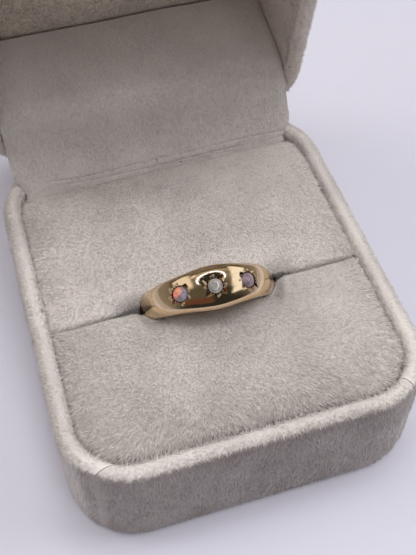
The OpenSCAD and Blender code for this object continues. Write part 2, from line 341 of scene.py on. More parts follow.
def note(mesh, name, values):
    """Keeps a value at each point of a mesh, for its material to read."""
    kept = mesh.attributes.new(name, "FLOAT", "POINT")
    kept.data.foreach_set("value", np.asarray(values, np.float32))


def finish_piece(obj, body, material, slot, *nodes):
    """Dresses a piece, hangs it on its body and lets it stand for CAD nodes."""
    obj.data.materials.clear()
    obj.data.materials.append(material)
    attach(obj, body)
    if nodes:
        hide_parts(*nodes)
    return obj


# shader helpers

class Value:
    """An output of a shader node. Sums on it add Math nodes."""

    def __init__(self, finish, socket):
        self.finish = finish
        self.socket = socket

    def sum(self, operation, a, b):
        return self.finish.node("ShaderNodeMath", {"operation": operation}, a, b)

    def __add__(self, other):
        return self.sum("ADD", self, other)

    def __mul__(self, other):
        return self.sum("MULTIPLY", self, other)

    def __sub__(self, other):
        return self.sum("SUBTRACT", self, other)

    def __rsub__(self, other):
        return self.sum("SUBTRACT", other, self)

    def __truediv__(self, other):
        return self.sum("DIVIDE", self, other)

    def __pow__(self, other):
        return self.sum("POWER", self, other)

    __radd__ = __add__
    __rmul__ = __mul__

    def rise(self, low, high):
        """0 below low, 1 above high and smooth between them."""
        return self.finish.node("ShaderNodeMapRange", {"interpolation_type": "SMOOTHSTEP"},
                                self, low, high)


class Finish:
    """The node tree of one material or of the world."""

    def __init__(self, owner):
        self.owner = owner
        owner.use_nodes = True
        self.tree = owner.node_tree
        self.tree.nodes.clear()

    def node(self, kind, settings=None, *values, out=0, **by_name):
        """Adds a node: first its settings, then its sockets' values or links."""
        node = self.tree.nodes.new(kind)
        for key, value in (settings or {}).items():
            setattr(node, key, value)
        sockets = [*enumerate(values), *((k.replace("_", " "), v) for k, v in by_name.items())]
        for key, value in sockets:
            if isinstance(value, Value):
                self.tree.links.new(value.socket, node.inputs[key])
            elif value is not None:
                node.inputs[key].default_value = value
        return Value(self, node.outputs[out]) if len(node.outputs) else None

    def place(self, scale=(1, 1, 1), turn=(0, 0, 0), centre=(0, 0, 0)):
        """Object coordinates, centred, turned and stretched."""
        found = self.node("ShaderNodeTexCoord", out="Object")
        centred = self.node("ShaderNodeVectorMath", {"operation": "SUBTRACT"}, found, centre)
        return self.node("ShaderNodeMapping", None, Vector=centred, Rotation=turn, Scale=scale)

    def noise(self, place, scale, detail, roughness):
        return self.node("ShaderNodeTexNoise", None, Vector=place, Scale=scale, Detail=detail,
                         Roughness=roughness)

    def attribute(self, name):
        return self.node("ShaderNodeAttribute", {"attribute_name": name}, out="Fac")

    def mix(self, factor, a, b):
        """Colour a where the factor is 0 and colour b where it is 1."""
        a, b = (tint if isinstance(tint, Value) else (*tint, 1) for tint in (a, b))
        number_and_vector_sockets = [None] * 5
        return self.node("ShaderNodeMix", {"data_type": "RGBA"}, factor,
                         *number_and_vector_sockets, a, b, out=2)

    def bump(self, height, distance, strength):
        return self.node("ShaderNodeBump", None, Height=height, Distance=distance,
                         Strength=strength)

    def surface(self, **sockets):
        """The Principled shader with these sockets, as the material's surface."""
        shader = self.node("ShaderNodeBsdfPrincipled", None, **sockets)
        self.node("ShaderNodeOutputMaterial", None, shader)
        return self.owner


def plush(name, deep, light, nap=(1, 1, 1), lift=0.0):
    """Short plush: hairs of uneven tone, brushed into soft patches, with a faint sheen, their tips
    a little paler as painted light; the pile's tone also carries painted shade and light. nap
    stretches its flecks and lift makes it paler, as painted light."""
    finish = Finish(bpy.data.materials.new(name))
    brushed = finish.noise(finish.place(), 150, 2, 0.45)
    flecks = finish.noise(finish.place(scale=nap), 3400, 2, 0.6)
    tip = finish.attribute("pile_tip")
    tone = finish.attribute("pile_tone_and_shade")
    # the tips' paler share is painted light, and the pile's tone brings painted shade and light
    tint = (flecks - 0.5) * 0.5 + (brushed - 0.5) * 0.4 + tip * 0.10 + tone * 0.32 + 0.50 + lift
    hair = finish.mix(tint.rise(0.0, 1.1), deep, light)
    # below the deep colour the shade between the locks goes on towards black
    hair = finish.mix(tint.rise(-0.9, 0.0), tinted(deep, 0.3), hair)
    return finish.surface(
        Base_Color=hair, Roughness=0.92, Specular_IOR_Level=0.2,
        Sheen_Weight=0.28, Sheen_Roughness=0.45, Sheen_Tint=(0.95, 0.92, 0.90, 1),
        Normal=finish.bump(flecks, 0.08 * MM, 0.4))


CUT_BROWN = (0.17, 0.062, 0.035)


def gold_finish(colours):
    """Polished yellow gold with wavy hand polish, fine wear, thin scratches and dark cuts."""
    finish = Finish(bpy.data.materials.new("yellow_gold"))
    wavy = finish.noise(finish.place(), 330, 1, 0.4)
    worn = finish.noise(finish.place(), 1500, 3, 0.6)
    scratches = finish.noise(finish.place(scale=(1, 6, 1), turn=(0.2, 0.5, 0.3)), 4200, 4, 0.7)
    rough = 0.07 + worn.rise(0.45, 0.75) * 0.10 + scratches.rise(0.55, 0.8) * 0.08
    shown = finish.mix(worn.rise(0.35, 0.7), tuple(colours.gold),
                       tinted(colours.gold, (0.97, 0.90, 0.80)))
    return finish.surface(
        Base_Color=finish.mix(finish.attribute("cut_depth"), shown, CUT_BROWN),
        Metallic=1.0, Roughness=rough,
        Normal=finish.bump(wavy + scratches * 0.03, 0.03 * MM, 1.0))


def opal_finish(name, body, centre, flashes, crescent_highlight=None):
    """Milky opal, whose flashes and crescent glow a little as painted light. Each flash is its
    colour, its place from the centre in mm and its reach. The crescent is a painted highlight,
    pale, between the round at its first place and that at its second."""
    finish = Finish(bpy.data.materials.new(name))
    cloudy = finish.noise(finish.place(), 1500, 2, 0.5)
    found = finish.place(centre=centre)
    cells = finish.node("ShaderNodeTexVoronoi", {"feature": "SMOOTH_F1"}, Vector=found,
                        Scale=3600.0, Smoothness=0.4, out="Color")
    broken = finish.node("ShaderNodeSeparateColor", None, cells).rise(0.2, 0.5) * 0.7 + 0.3

    def away(place, near, far):
        """0 nearer than near to a place and 1 past far, all in mm."""
        gone = finish.node("ShaderNodeVectorMath", {"operation": "DISTANCE"}, found,
                           tuple(a * MM for a in place), out="Value")
        return gone.rise(near * MM, far * MM)

    patches = [(tint, (1.0 - away(place, reach * 0.3, reach)) * broken)
               for tint, place, reach in flashes]
    if crescent_highlight:
        tint, (outer, wide), (inner, narrow) = crescent_highlight
        soft = 0.05
        patches.append((tint, (1.0 - away(outer, wide - soft, wide + soft))
                        * away(inner, narrow - soft, narrow + soft)))
    shown = finish.mix(cloudy.rise(0.3, 0.7), tinted(body, 0.62), tuple(body))
    # the flashes and the crescent glow a little: painted light
    painted_glow = (0, 0, 0)
    for tint, mask in patches:
        shown, painted_glow = finish.mix(mask, shown, tint), finish.mix(mask, painted_glow, tint)
    return finish.surface(
        Base_Color=shown, Roughness=0.22, Coat_Weight=1.0, Coat_Roughness=0.05, Coat_IOR=1.75,
        Emission_Color=painted_glow, Emission_Strength=0.3)


def steel_finish(colours):
    finish = Finish(bpy.data.materials.new("pin_steel"))
    drawn = finish.noise(finish.place(scale=(1, 14, 14)), 900, 3, 0.6)
    return finish.surface(Base_Color=(*colours.steel, 1), Metallic=1.0,
                          Roughness=0.25 + drawn * 0.25,
                          Normal=finish.bump(drawn, 0.01 * MM, 0.5))


# pile

LOCK_FACES = (2, 0, 3, 1, 2, 3, 0, 1, 3, 1, 0, 2)    # four triangles on a lock's four points
SORT_WAY = np.array([0.7312, 0.5187, 0.4431])        # along no side, so that no two are level


def toned(surface, tone):
    """Gives the cloth's own surface the tone that its pile has there."""
    note(surface.data, "pile_tone_and_shade", tone(points_of(surface)))


def scattered(surface, per_mm2, rng, keep):
    """Points spread evenly over a mesh's faces, with the face's normal at each."""
    mesh = surface.data
    mesh.calc_loop_triangles()
    corners = np.empty(len(mesh.loop_triangles) * 3, np.int32)
    mesh.loop_triangles.foreach_get("vertices", corners)
    found = points_of(surface)[corners.reshape(-1, 3)]
    # edit mode lists faces and corners in an order that changes from run to run, so both are
    # sorted here by their places, and each run draws the same hairs
    first = (found @ SORT_WAY).argmin(1)
    found = np.stack([found[np.arange(len(found)), (first + k) % 3] for k in range(3)])
    a, b, c = found[:, (found.sum(0) @ SORT_WAY).argsort(kind="stable")]
    cross = np.cross(b - a, c - a)
    area = np.linalg.norm(cross, axis=1) / 2
    normals = unit(cross)
    weight = area * asked(per_mm2, (a + b + c) / 3, normals) / MM ** 2
    count = int(weight.sum())
    pick = rng.choice(len(area), count, p=weight / weight.sum())
    u, v = rng.random(count), rng.random(count)
    over = u + v > 1
    u[over], v[over] = 1 - u[over], 1 - v[over]
    points = a[pick] + (b - a)[pick] * u[:, None] + (c - a)[pick] * v[:, None]
    kept = keep(points, normals[pick]) if keep else np.ones(count, bool)
    return points[kept], normals[pick][kept]


def pile(name, surface, per_mm2, hair, width, stand, comb, seed, keep=None, between=None,
         sway=0.22, tone=0, crisp=0.55, mottle=1.0):
    """Locks of hair on a finished surface, each a thin closed spike that leans as the nap is
    combed. comb gives a way for each point, between holds the tips' lowest and highest place,
    crisp is how far each lock is shaded by itself and mottle how much their tones differ."""
    rng = np.random.default_rng(seed)
    points, normals = scattered(surface, per_mm2, rng, keep)
    count = len(points)
    way = comb(points, normals)
    way = unit(way - normals * (way * normals).sum(1)[:, None])
    across = np.cross(normals, way)
    swing = waves(points, 5 * MM, seed + 1) * 0.28 + rng.normal(0, sway, count)
    way = way * np.cos(swing)[:, None] + across * np.sin(swing)[:, None]
    rise = asked(stand, points) * rng.uniform(0.55, 1.45, count)
    along = unit(way * np.cos(rise)[:, None] + normals * np.sin(rise)[:, None])
    tips = points + along * (asked(hair, points) * rng.uniform(0.65, 1.3, count))[:, None]
    if between:
        tips[:, 2] = np.clip(tips[:, 2], *between)
        along = unit(tips - points)
    width = width * rng.uniform(0.7, 1.3, count)
    side = unit(np.cross(along, normals)) * (width / 2)[:, None]
    back = unit(np.cross(side, along)) * (width * 0.45)[:, None]
    roots = points - normals * 0.05 * MM
    locks = np.stack([roots + side, roots - side, roots + back, tips], axis=1)
    corners = np.arange(count)[:, None] * 4 + np.array(LOCK_FACES)
    mesh = bpy.data.meshes.new(name)
    mesh.vertices.add(count * 4)
    mesh.vertices.foreach_set("co", locks.ravel())
    mesh.loops.add(corners.size)
    mesh.loops.foreach_set("vertex_index", corners.ravel())
    mesh.polygons.add(corners.size // 3)
    mesh.polygons.foreach_set("loop_start", np.arange(0, corners.size, 3))
    mesh.update(calc_edges=True)
    mesh.shade_smooth()
    own = np.empty(count * 12)
    mesh.vertex_normals.foreach_get("vector", own)
    soft = unit(own.reshape(-1, 3) * crisp + np.repeat(normals, 4, axis=0) * (1 - crisp))
    mesh.normals_split_custom_set_from_vertices(soft.tolist())
    note(mesh, "pile_tip", np.tile([0.0, 0.0, 0.0, 1.0], count))
    tones = (0.3 - 1.3 * rng.random(count) ** 3) * asked(mottle, points) + asked(tone, points)
    note(mesh, "pile_tone_and_shade", np.repeat(tones, 4))
    return placed(mesh)


# the box

def lid_opened():
    """From the shut lid's place to the open one's."""
    return (Matrix.Translation(HINGE) @ Matrix.Rotation(-OPEN_ANGLE, 4, "X")
            @ Matrix.Translation(-HINGE))


def lid_flipped(box):
    """From a tray standing on its floor to the shut lid, rim down."""
    top = BASE_HEIGHT + box.rim_gap + box.lid_height
    return Matrix.Translation((0, 0, top)) @ Matrix.Rotation(math.pi, 4, "X")


CORNER_STEPS = 14
RIM_STEPS = 6
FOOT_STEPS = 3


def tray(name, height, box):
    """Tray with round corners and a round rim, standing open on the plane of its origin."""
    deselect()
    bpy.ops.mesh.primitive_cube_add(size=1, location=(0, 0, height / 2),
                                    scale=(BOX_WIDTH, BOX_DEPTH, height))
    shell = named(name)
    settle(shell)
    near = 0.01 * MM

    def level(part, z):
        return all(abs(v.co.z - z) < near for v in part.verts)

    def fold(edge):
        lean = sorted(abs(f.normal.z) for f in edge.link_faces)
        return len(lean) == 2 and lean[0] < 0.1 and lean[1] > 0.9

    with Shaping(shell) as shaping:
        shaping.pick("EDGE", lambda e: not level(e, 0) and not level(e, height)
                     and abs(e.verts[0].co.z - e.verts[1].co.z) > near)
        bpy.ops.mesh.bevel(offset=box.corner, segments=CORNER_STEPS, affect="EDGES")
        shaping.pick("FACE", lambda f: f.normal.z > 0.9)
        bpy.ops.mesh.inset(thickness=box.wall)
        bpy.ops.mesh.extrude_region_move(
            TRANSFORM_OT_translate={"value": (0, 0, box.floor - height)})
        shaping.pick("EDGE", lambda e: level(e, height) and fold(e))
        bpy.ops.mesh.bevel(offset=box.wall * 0.495, segments=RIM_STEPS, affect="EDGES")
        shaping.pick("EDGE", lambda e: level(e, 0) and fold(e))
        bpy.ops.mesh.bevel(offset=box.foot_round, segments=FOOT_STEPS, affect="EDGES")
    return shell


ROLLER_SIDES = 28


def roller(name, radius, x0, x1):
    """Round bar along the hinge axis."""
    deselect()
    bpy.ops.mesh.primitive_cylinder_add(
        vertices=ROLLER_SIDES, radius=radius, depth=x1 - x0,
        location=((x0 + x1) / 2, HINGE.y, HINGE.z), rotation=(0, math.pi / 2, 0))
    bar = named(name)
    settle(bar)
    with Shaping(bar) as shaping:
        shaping.pick("EDGE", lambda e: abs(e.verts[0].co.x - e.verts[1].co.x) < 1e-7)
        bpy.ops.mesh.bevel(offset=radius * 0.2, segments=2, affect="EDGES")
    return bar


def cut(obj, *cutters):
    """Takes the cutters' shapes out of obj and removes them."""
    for cutter in cutters:
        modify(obj, "BOOLEAN", operation="DIFFERENCE", solver="MANIFOLD", object=cutter)
        bpy.data.objects.remove(cutter)
        if not obj.data.polygons:
            raise RuntimeError("a cut took away all of " + obj.name)


def block(name, low, high):
    deselect()
    low, high = Vector(low), Vector(high)
    bpy.ops.mesh.primitive_cube_add(size=1, location=(low + high) / 2, scale=high - low)
    made = named(name)
    settle(made)
    return made


SIDES = np.array([HALF_WIDTH, HALF_DEPTH])


def outward(points):
    """The way out of the box through its nearest side, seen from above."""
    core = SIDES - 10 * MM
    flat = points[:, :2] - np.clip(points[:, :2], -core, core)
    return unit(np.column_stack([flat, np.full(len(points), 1e-9)]))


def wall_comb(back):
    """Combs hair down the walls, slanting back by that share, and outwards over the rim."""
    def comb(points, normals):
        upward = ease(normals[:, 2], 0.15, 0.75)[:, None]
        return outward(points) * upward + np.array([0, back, -1.0]) * (1 - upward)
    return comb


def off_floor(points, normals, box):
    """True except on a tray's floor, which lies hidden."""
    return ~((normals[:, 2] > 0.9) & (points[:, 2] < box.floor * 1.2))


# seams across the front corners of the rim, each from its outer to its inner end, and a nick
# in the rim, in mm
SEAMS = (((-21.0, -25.9), (-18.8, -25.3)), ((21.1, -26.4), (19.3, -23.8)))
NICK = (-8.75, -26.8)
GROOVE_HALF, GROOVE_DEEP = 0.055 * MM, 1.0 * MM

# locks on a square millimetre of the base: on the rim, on the walls and on the back wall
RIM_LOCKS, WALL_LOCKS, BACK_LOCKS = 24.0, 10.0, 7.0


def outside(points, box):
    """1 on the outer half of the rim and the outer walls, and 0 further in."""
    past = np.abs(points[:, :2]) - SIDES + box.corner
    out = np.hypot(*np.maximum(past, 0).T) - box.corner + box.wall / 2
    return ease(out, -0.1 * MM, 0.3 * MM)


def off_seam(points, seam):
    """Distance from a seam's line, positive on its left when looking inwards."""
    outer, inner = np.array(seam) * MM
    way = (inner - outer) / np.linalg.norm(inner - outer)
    return (points[:, :2] - outer) @ np.array([-way[1], way[0]])


def seam_half(points, seam):
    """True on the seam's own half of the box."""
    return seam[0][0] * points[:, 0] > 0


def groove(seam):
    """The cutter for a seam's thin groove across the rim, from a little outside it."""
    outer, inner = (Vector((*p, 0)) * MM for p in seam)
    way, half = inner - outer, (inner - outer).length / 2 + 0.4 * MM
    made = block("seam", (-half, -GROOVE_HALF, BASE_HEIGHT - GROOVE_DEEP),
                 (half, GROOVE_HALF, BASE_HEIGHT + GROOVE_DEEP))
    settle(made, Matrix.Translation((outer + inner) / 2)
           @ Matrix.Rotation(math.atan2(way.y, way.x), 4, "Z"))
    return made


class RINGBOX_OT_base(bpy.types.Operator):
    """Covers the base of the box in plush, with its pile"""
    bl_idname = "ringbox.base"
    bl_label = "Base"

    def execute(self, context):
        box, _, look = settings(context)
        shell = tray("base_cloth", BASE_HEIGHT, box)
        notch = box.lid_knuckle / 2 + box.knuckle_gap
        cut(shell, block("notch", (-notch, HALF_DEPTH - 3 * box.wall / 2,
                                   HINGE.z - box.knuckle - box.knuckle_gap),
                         (notch, HALF_DEPTH + box.wall, BASE_HEIGHT + box.wall)))
        cut(shell, *(groove(seam) for seam in SEAMS))
        for x in (-1, 1):
            ends = sorted((x * notch, x * (notch + box.base_knuckle)))
            join(shell, roller("base_knuckle", box.knuckle, *ends))
        smooth(shell)
        # the walls' deep colour is darkened as painted shade, and lift makes the cloth paler as
        # painted light
        shaded = tinted(look.cloth_deep, (0.70, 0.66, 0.67))
        cloth = plush("plush_walls", shaded, look.cloth_light, nap=(1, 1, 0.35), lift=0.09)
        finish_piece(shell, "base", cloth, "plush", "base_shell")
        rim_z = BASE_HEIGHT - box.wall / 2

        def dense(points, normals):
            """Thickest on the rim, thinner at the back and none on the walls behind the pads."""
            _, y, z = points.T
            hidden = (z < rim_z - 2 * MM) & (outside(points, box) < 0.5)
            wall = np.where(y > 10 * MM, BACK_LOCKS, WALL_LOCKS)
            return np.where(z > rim_z, RIM_LOCKS, np.where(hidden, 0.0, wall))

        def tone(points):
            """Painted shade on the walls, deepest just under the rim, and painted light on the left
            wall, the rim's front and its inner edge, nap that lies paler behind each seam and
            darker before it, and the dark nick."""
            x, y, z = points.T
            out = outside(points, box)
            pale = -2.5 * spot(points, np.multiply(NICK, MM), (0.45, 0.16))
            for seam, more, wide in zip(SEAMS, (1.0, -0.6), (5, 2)):
                off = off_seam(points, seam) * np.sign(more)
                behind = (off > 0) * (1 - ramp(off, 0.4 * wide, wide))
                before = (off < 0) * (1 - ramp(-off, 0.3, 1.6))
                shown = seam_half(points, seam) * (y < 0)
                pale = pale + shown * abs(more) * (behind - 0.6 * before)
            edge = BASE_HEIGHT - 0.40 * MM + waves(points, 0.6 * MM, 14) * 0.10 * MM
            low = (1 - ramp(z - edge, -0.15, 0.05)) * out
            front, left = ramp(-y, 12, 24), ramp(-x, 22.5, 24.5)
            inner = (1 - out) * ease(z, rim_z - 1 * MM, rim_z)
            # shade is painted shade on the front walls, and lit lessens it where more light falls
            lit = 0.45 * ramp(x, 2, 20) + 0.15 * ramp(-x, 5, 18)
            shade = 0.1 + 1.3 * front * (1 - lit) * (1 - 0.95 * left)
            shade_under_rim = bell(z, rim_z + 0.2 * MM, 0.6 * MM) * front * (1 - left)
            # seams and nick, then the walls' painted shade, painted light on the left wall, the
            # front of the rim and its inner edge, and soft patches
            return (0.6 * pale * (1 - 0.7 * low)
                    - low * (0.88 * shade + 0.4 * shade_under_rim - 1.1 * left * front)
                    + 0.35 * front * (1 - low) + 0.03 + 0.07 * low
                    + inner * (0.25 - 0.15 * front + 0.2 * ramp(x, 18, 21))
                    + 0.12 * waves(points, 6 * MM, 13))

        def locks(points):
            """Shorter hair in tufts round the rim, and short hair beside the seams and the foot."""
            z = points[:, 2]
            on_rim = ease(z, rim_z - 0.2 * MM, rim_z + 0.6 * MM)
            tufts = waves(points, 0.5 * MM, 17) * (0.25 - 0.15 * outside(points, box))
            long = (0.85 - on_rim * (0.35 - tufts)) * MM * (0.4 + 0.6 * ramp(z, 0.5, 2))
            for seam in SEAMS:
                off = np.abs(off_seam(points, seam)) + 9 * MM * ~seam_half(points, seam)
                long = long * (0.15 + 0.85 * ramp(off, 0.2, 0.9))
            return long

        def keep(points, normals):
            """No hair on the hidden floor and underside, nor in the seams."""
            clear = off_floor(points, normals, box) & (normals[:, 2] >= -0.5)
            for seam in SEAMS:
                near = np.abs(off_seam(points, seam)) < 0.13 * MM
                clear &= ~(near & seam_half(points, seam) & (points[:, 2] > rim_z))
            return clear

        def stand(points):
            """Low on the walls, steeper on the rim and steepest on its inner side."""
            z = points[:, 2]
            inner = (1 - outside(points, box)) * ease(z, rim_z, rim_z + 0.3 * MM)
            return np.radians(17 + 9 * ease(z, rim_z - 1 * MM, rim_z) + 26 * inner)

        toned(shell, tone)
        hairs = pile("base_pile", shell, dense, locks, 0.15 * MM, stand, wall_comb(0), 11,
                     keep=keep, between=(0.05 * MM, BASE_HEIGHT + 0.14 * MM), tone=tone,
                     sway=0.12, mottle=lambda p: 1.3 - 0.8 * ramp(p[:, 2] - rim_z, 0, 0.7))
        finish_piece(hairs, "base", cloth, "plush")
        return {"FINISHED"}


class RINGBOX_OT_lid(bpy.types.Operator):
    """Covers the lid in plush, with its pile and the pad that lines its top"""
    bl_idname = "ringbox.lid"
    bl_label = "Lid"

    def execute(self, context):
        box, _, look = settings(context)
        shell = tray("lid_cloth", box.lid_height, box)
        rim_z = box.lid_height - box.wall / 2
        # the lid's cloth and its lining, each a little warmer and made paler by lift, as painted
        # light
        cloth, soft = (plush(name, tinted(look.cloth_deep, warm), tinted(look.cloth_light, warm),
                             (1, 0.5, 1), lift)
                       for name, warm, lift in (("plush_lid", (1.0, 0.98, 0.94), 0.15),
                                                ("plush_lining", (1.0, 0.96, 0.86), 0.06)))

        def dense(points, normals):
            """Thickest on the rim and thinnest on the outside."""
            inside = (np.abs(points[:, :2]) < SIDES - 1.5 * MM).all(1)
            return np.where(points[:, 2] > rim_z, 14.5, np.where(inside, 4.8, 2.4))

        def tone(points):
            """A little darker on the outside, where it takes back the lid's painted light."""
            z = points[:, 2]
            out = (np.abs(points[:, :2]) > SIDES - 0.8 * MM).any(1) | (z < box.floor / 2)
            return -0.7 * out * (1 - ease(z, rim_z - 2 * MM, rim_z))

        toned(shell, tone)
        hairs = pile("lid_pile", shell, dense, 0.6 * MM, 0.18 * MM, math.radians(22),
                     wall_comb(0.2), 21, keep=lambda p, n: off_floor(p, n, box), tone=tone,
                     between=(-np.inf, box.lid_height + 0.12 * MM))
        place = lid_opened() @ lid_flipped(box)
        settle(hairs, place)
        finish_piece(hairs, "lid", cloth, "plush")
        settle(shell, lid_flipped(box))
        half = box.lid_knuckle / 2
        bar = roller("lid_knuckle", box.knuckle, -half, half)
        web = block("knuckle_web", (-half, HINGE.y - box.knuckle, HINGE.z),
                    (half, HALF_DEPTH - 0.25 * MM, BASE_HEIGHT + box.rim_gap + box.wall * 0.75))
        join(shell, bar, web)
        settle(shell, lid_opened())
        smooth(shell)
        finish_piece(shell, "lid", cloth, "plush", "lid_shell")

        gap = box.soft_gap
        half_w = HALF_WIDTH - box.wall - gap
        half_d = HALF_DEPTH - box.wall - gap
        round_in = box.corner - box.wall - gap
        lining = cushion("lid_pad_cloth", half_w, -half_d, half_d, round_in, round_in,
                         box.lid_pad / 2, box.lid_pad / 2, box.floor, box.floor + box.lid_pad,
                         box.lid_pad_dome, 56, 60, 1)
        downy = pile("lid_pad_pile", lining, 8.0, 0.6 * MM, 0.22 * MM, math.radians(20),
                     lambda p, n: np.tile([0.15, 1.0, 0.0], (len(p), 1)), 31,
                     keep=lambda p, n: n[:, 2] > 0.05)
        for obj in (lining, downy):
            settle(obj, place)
        smooth(lining, 60)
        finish_piece(lining, "lid", soft, "plush", "lid_pad")
        finish_piece(downy, "lid", soft, "plush")
        return {"FINISHED"}


# the pads

def cushion(name, half_w, y0, y1, r0, r1, roll0, roll1, foot_z, edge_z, dome, nx, ny, steps,
            near=None, sink=None):
    """Cushion with rolled edges and a swelling top, from y0 to y1 with corners r0 and r1. The
    near end's roll is near wide, and the far end's roll falls by sink. Its sides go down in
    steps."""
    deselect()
    bpy.ops.mesh.primitive_grid_add(x_subdivisions=nx, y_subdivisions=ny, size=2)
    pad = named(name)
    flat = points_of(pad)
    mid, half_d = (y0 + y1) / 2, (y1 - y0) / 2
    u, v = flat[:, 0], flat[:, 1]
    ring = np.maximum(np.maximum(np.abs(u), np.abs(v)), 1e-9)
    x, y = u / ring * half_w, v / ring * half_d
    corner = np.where(v > 0, r1, r0)
    dx, dy = np.abs(x) - (half_w - corner), np.abs(y) - (half_d - corner)
    pull = np.where((dx > 0) & (dy > 0), corner / np.maximum(np.hypot(dx, dy), 1e-9), 1)
    x = np.where(pull < 1, np.sign(x) * (half_w - corner + dx * pull), x)
    y = np.where(pull < 1, np.sign(y) * (half_d - corner + dy * pull), y)
    inner = 1 - (1 - ring) ** 1.5
    x, y = x * inner, y * inner
    qx, qy = np.abs(x) - (half_w - corner), np.abs(y) - (half_d - corner)
    deep = corner - np.hypot(np.maximum(qx, 0), np.maximum(qy, 0)) - np.minimum(
        np.maximum(qx, qy), 0)
    nearer = ease((half_w - np.abs(x)) - (half_d - y), -1.5 * MM, 1.5 * MM)
    round_it = (qx > 0) & (qy > 0)
    ahead = np.where(round_it, qy / np.maximum(np.hypot(qx, qy), 1e-9), qy > qx) * (y < 0)
    side = roll0 + (min(roll0, roll1) - roll0) * nearer
    side += ((near or roll0) - roll0) * ease(ahead, 0.1, 0.95)
    part = np.clip(deep / side, 0, 1)
    swell = 1 - (1 - np.clip((deep - side) / (0.8 * min(half_w, half_d)), 0, 1)) ** 2.2
    z = edge_z - side * (1 - np.sqrt(1 - (1 - part) ** 2)) + dome * swell
    back = 1 - np.clip((half_d - y) / roll1, 0, 1)
    z -= (sink or roll1) * (1 - np.sqrt(1 - (0.98 * back) ** 2)) + dome * swell * back ** 2
    move_points(pad, np.column_stack([x, y + mid, z]))
    fall = (z.min() - foot_z) / steps
    with Shaping(pad) as shaping:
        shaping.pick("EDGE", lambda e: e.is_boundary)
        for _ in range(steps):
            bpy.ops.mesh.extrude_region_move(TRANSFORM_OT_translate={"value": (0, 0, -fall)})
        bpy.ops.mesh.edge_face_add()
        shaping.face_out()
    return pad


def ring_place(ring, box):
    """From the ring's own frame, finger along Y and crown up, to its place in the slot."""
    mouth = BASE_HEIGHT - box.pad_drop
    at_y = -box.slot_front + (mouth - ring.height) * math.tan(ring.lean)
    return (Matrix.Translation((ring.aside, at_y, ring.height))
            @ Matrix.Rotation(ring.yaw, 4, "Z") @ Matrix.Rotation(ring.lean, 4, "X"))


def by_band(points, ring, box):
    """Points in the ring's own frame, how far each lies from the finger's line and out of the
    band's thickness, its turn from the crown and the band's width and thickness there."""
    local = moved(points, ring_place(ring, box).inverted())
    radius = np.hypot(local[:, 0], local[:, 2])
    turn = np.degrees(np.abs(np.arctan2(local[:, 0], local[:, 2])))
    thick = np.array([band_thick(a, ring) for a in turn])
    wide = np.array([band_width(a, ring) for a in turn])
    off = np.maximum(np.maximum(ring.bore - radius, radius - ring.bore - thick), 0)
    return local, radius, off, turn, wide, thick


def hollow(points, side, ring, box):
    """1 where the pad lies deepest beside the band's ends and 0 where it lies as it was."""
    local, radius, off, turn, wide, _ = by_band(points, ring, box)
    if side > 0:
        left = local[:, 0] < 0
        deep = (1 - ease(off, 0, np.where(left, 5.5, 3.5) * MM)) * np.where(left, 1, 0.55)
        deep *= 1 - ramp(points[:, 1] + box.slot_front, 0, 3.6)
    else:
        deep = (1 - ramp(off, 0.05, 1.5)) * ease(turn, 38, 62)
        deep *= 1 - ramp(-local[:, 1] - wide / 2, 0, 2.8)
    return deep * (radius > ring.bore)


def make_room(pad, side, ring, box):
    """Presses the foam aside where the leaning band goes in, with side -1 in front, and down
    beside the band's ends."""
    mouth = BASE_HEIGHT - box.pad_drop
    points = points_of(pad)
    near = 1 - ramp(np.abs(points[:, 1] + box.slot_front), 0, 6)
    below = np.maximum(mouth - box.slot_roll - points[:, 2], 0)
    points[:, 1] += near * below * math.tan(ring.lean)
    points[:, 2] -= hollow(points, side, ring, box) * (1.1 if side > 0 else 0.9) * MM
    if side > 0:
        # the slot gapes a little towards the band
        x = points[:, 0]
        gape = np.where(x < 0, 0.30 * ramp(x, -19.5, -14) - 0.12 * ramp(x, -12.5, -11),
                        0.14 * (1 - ramp(x, 10, 17)))
        points[:, 1] += gape * MM * (1 - ramp(points[:, 1] + box.slot_front, 0.3, 2.4))
    local, radius, off, _, wide, thick = by_band(points, ring, box)
    left = np.clip((ring.bore + thick - radius) / (ring.crown_swell + ring.edge_round), 0.04, 1)
    hug = (wide / 2 * np.sqrt(left) + 0.02 * MM) * (1 - ramp(off, 0, 0.12))
    short = np.maximum((side * hug - local[:, 1]) * side, 0) * (1 - ramp(off, 0.05, 0.22))
    local[:, 1] += side * np.where(np.abs(local[:, 1]) < wide / 2 + 4 * MM, short, 0)
    move_points(pad, moved(local, ring_place(ring, box)))


PAD_GAP = 0.04 * MM         # between the pads and the walls
SLOT_HALF = 0.08 * MM       # half of the width of the slot
PAD_GRID = (260, 70, 7)     # faces across, faces deep and steps down a pad's sides


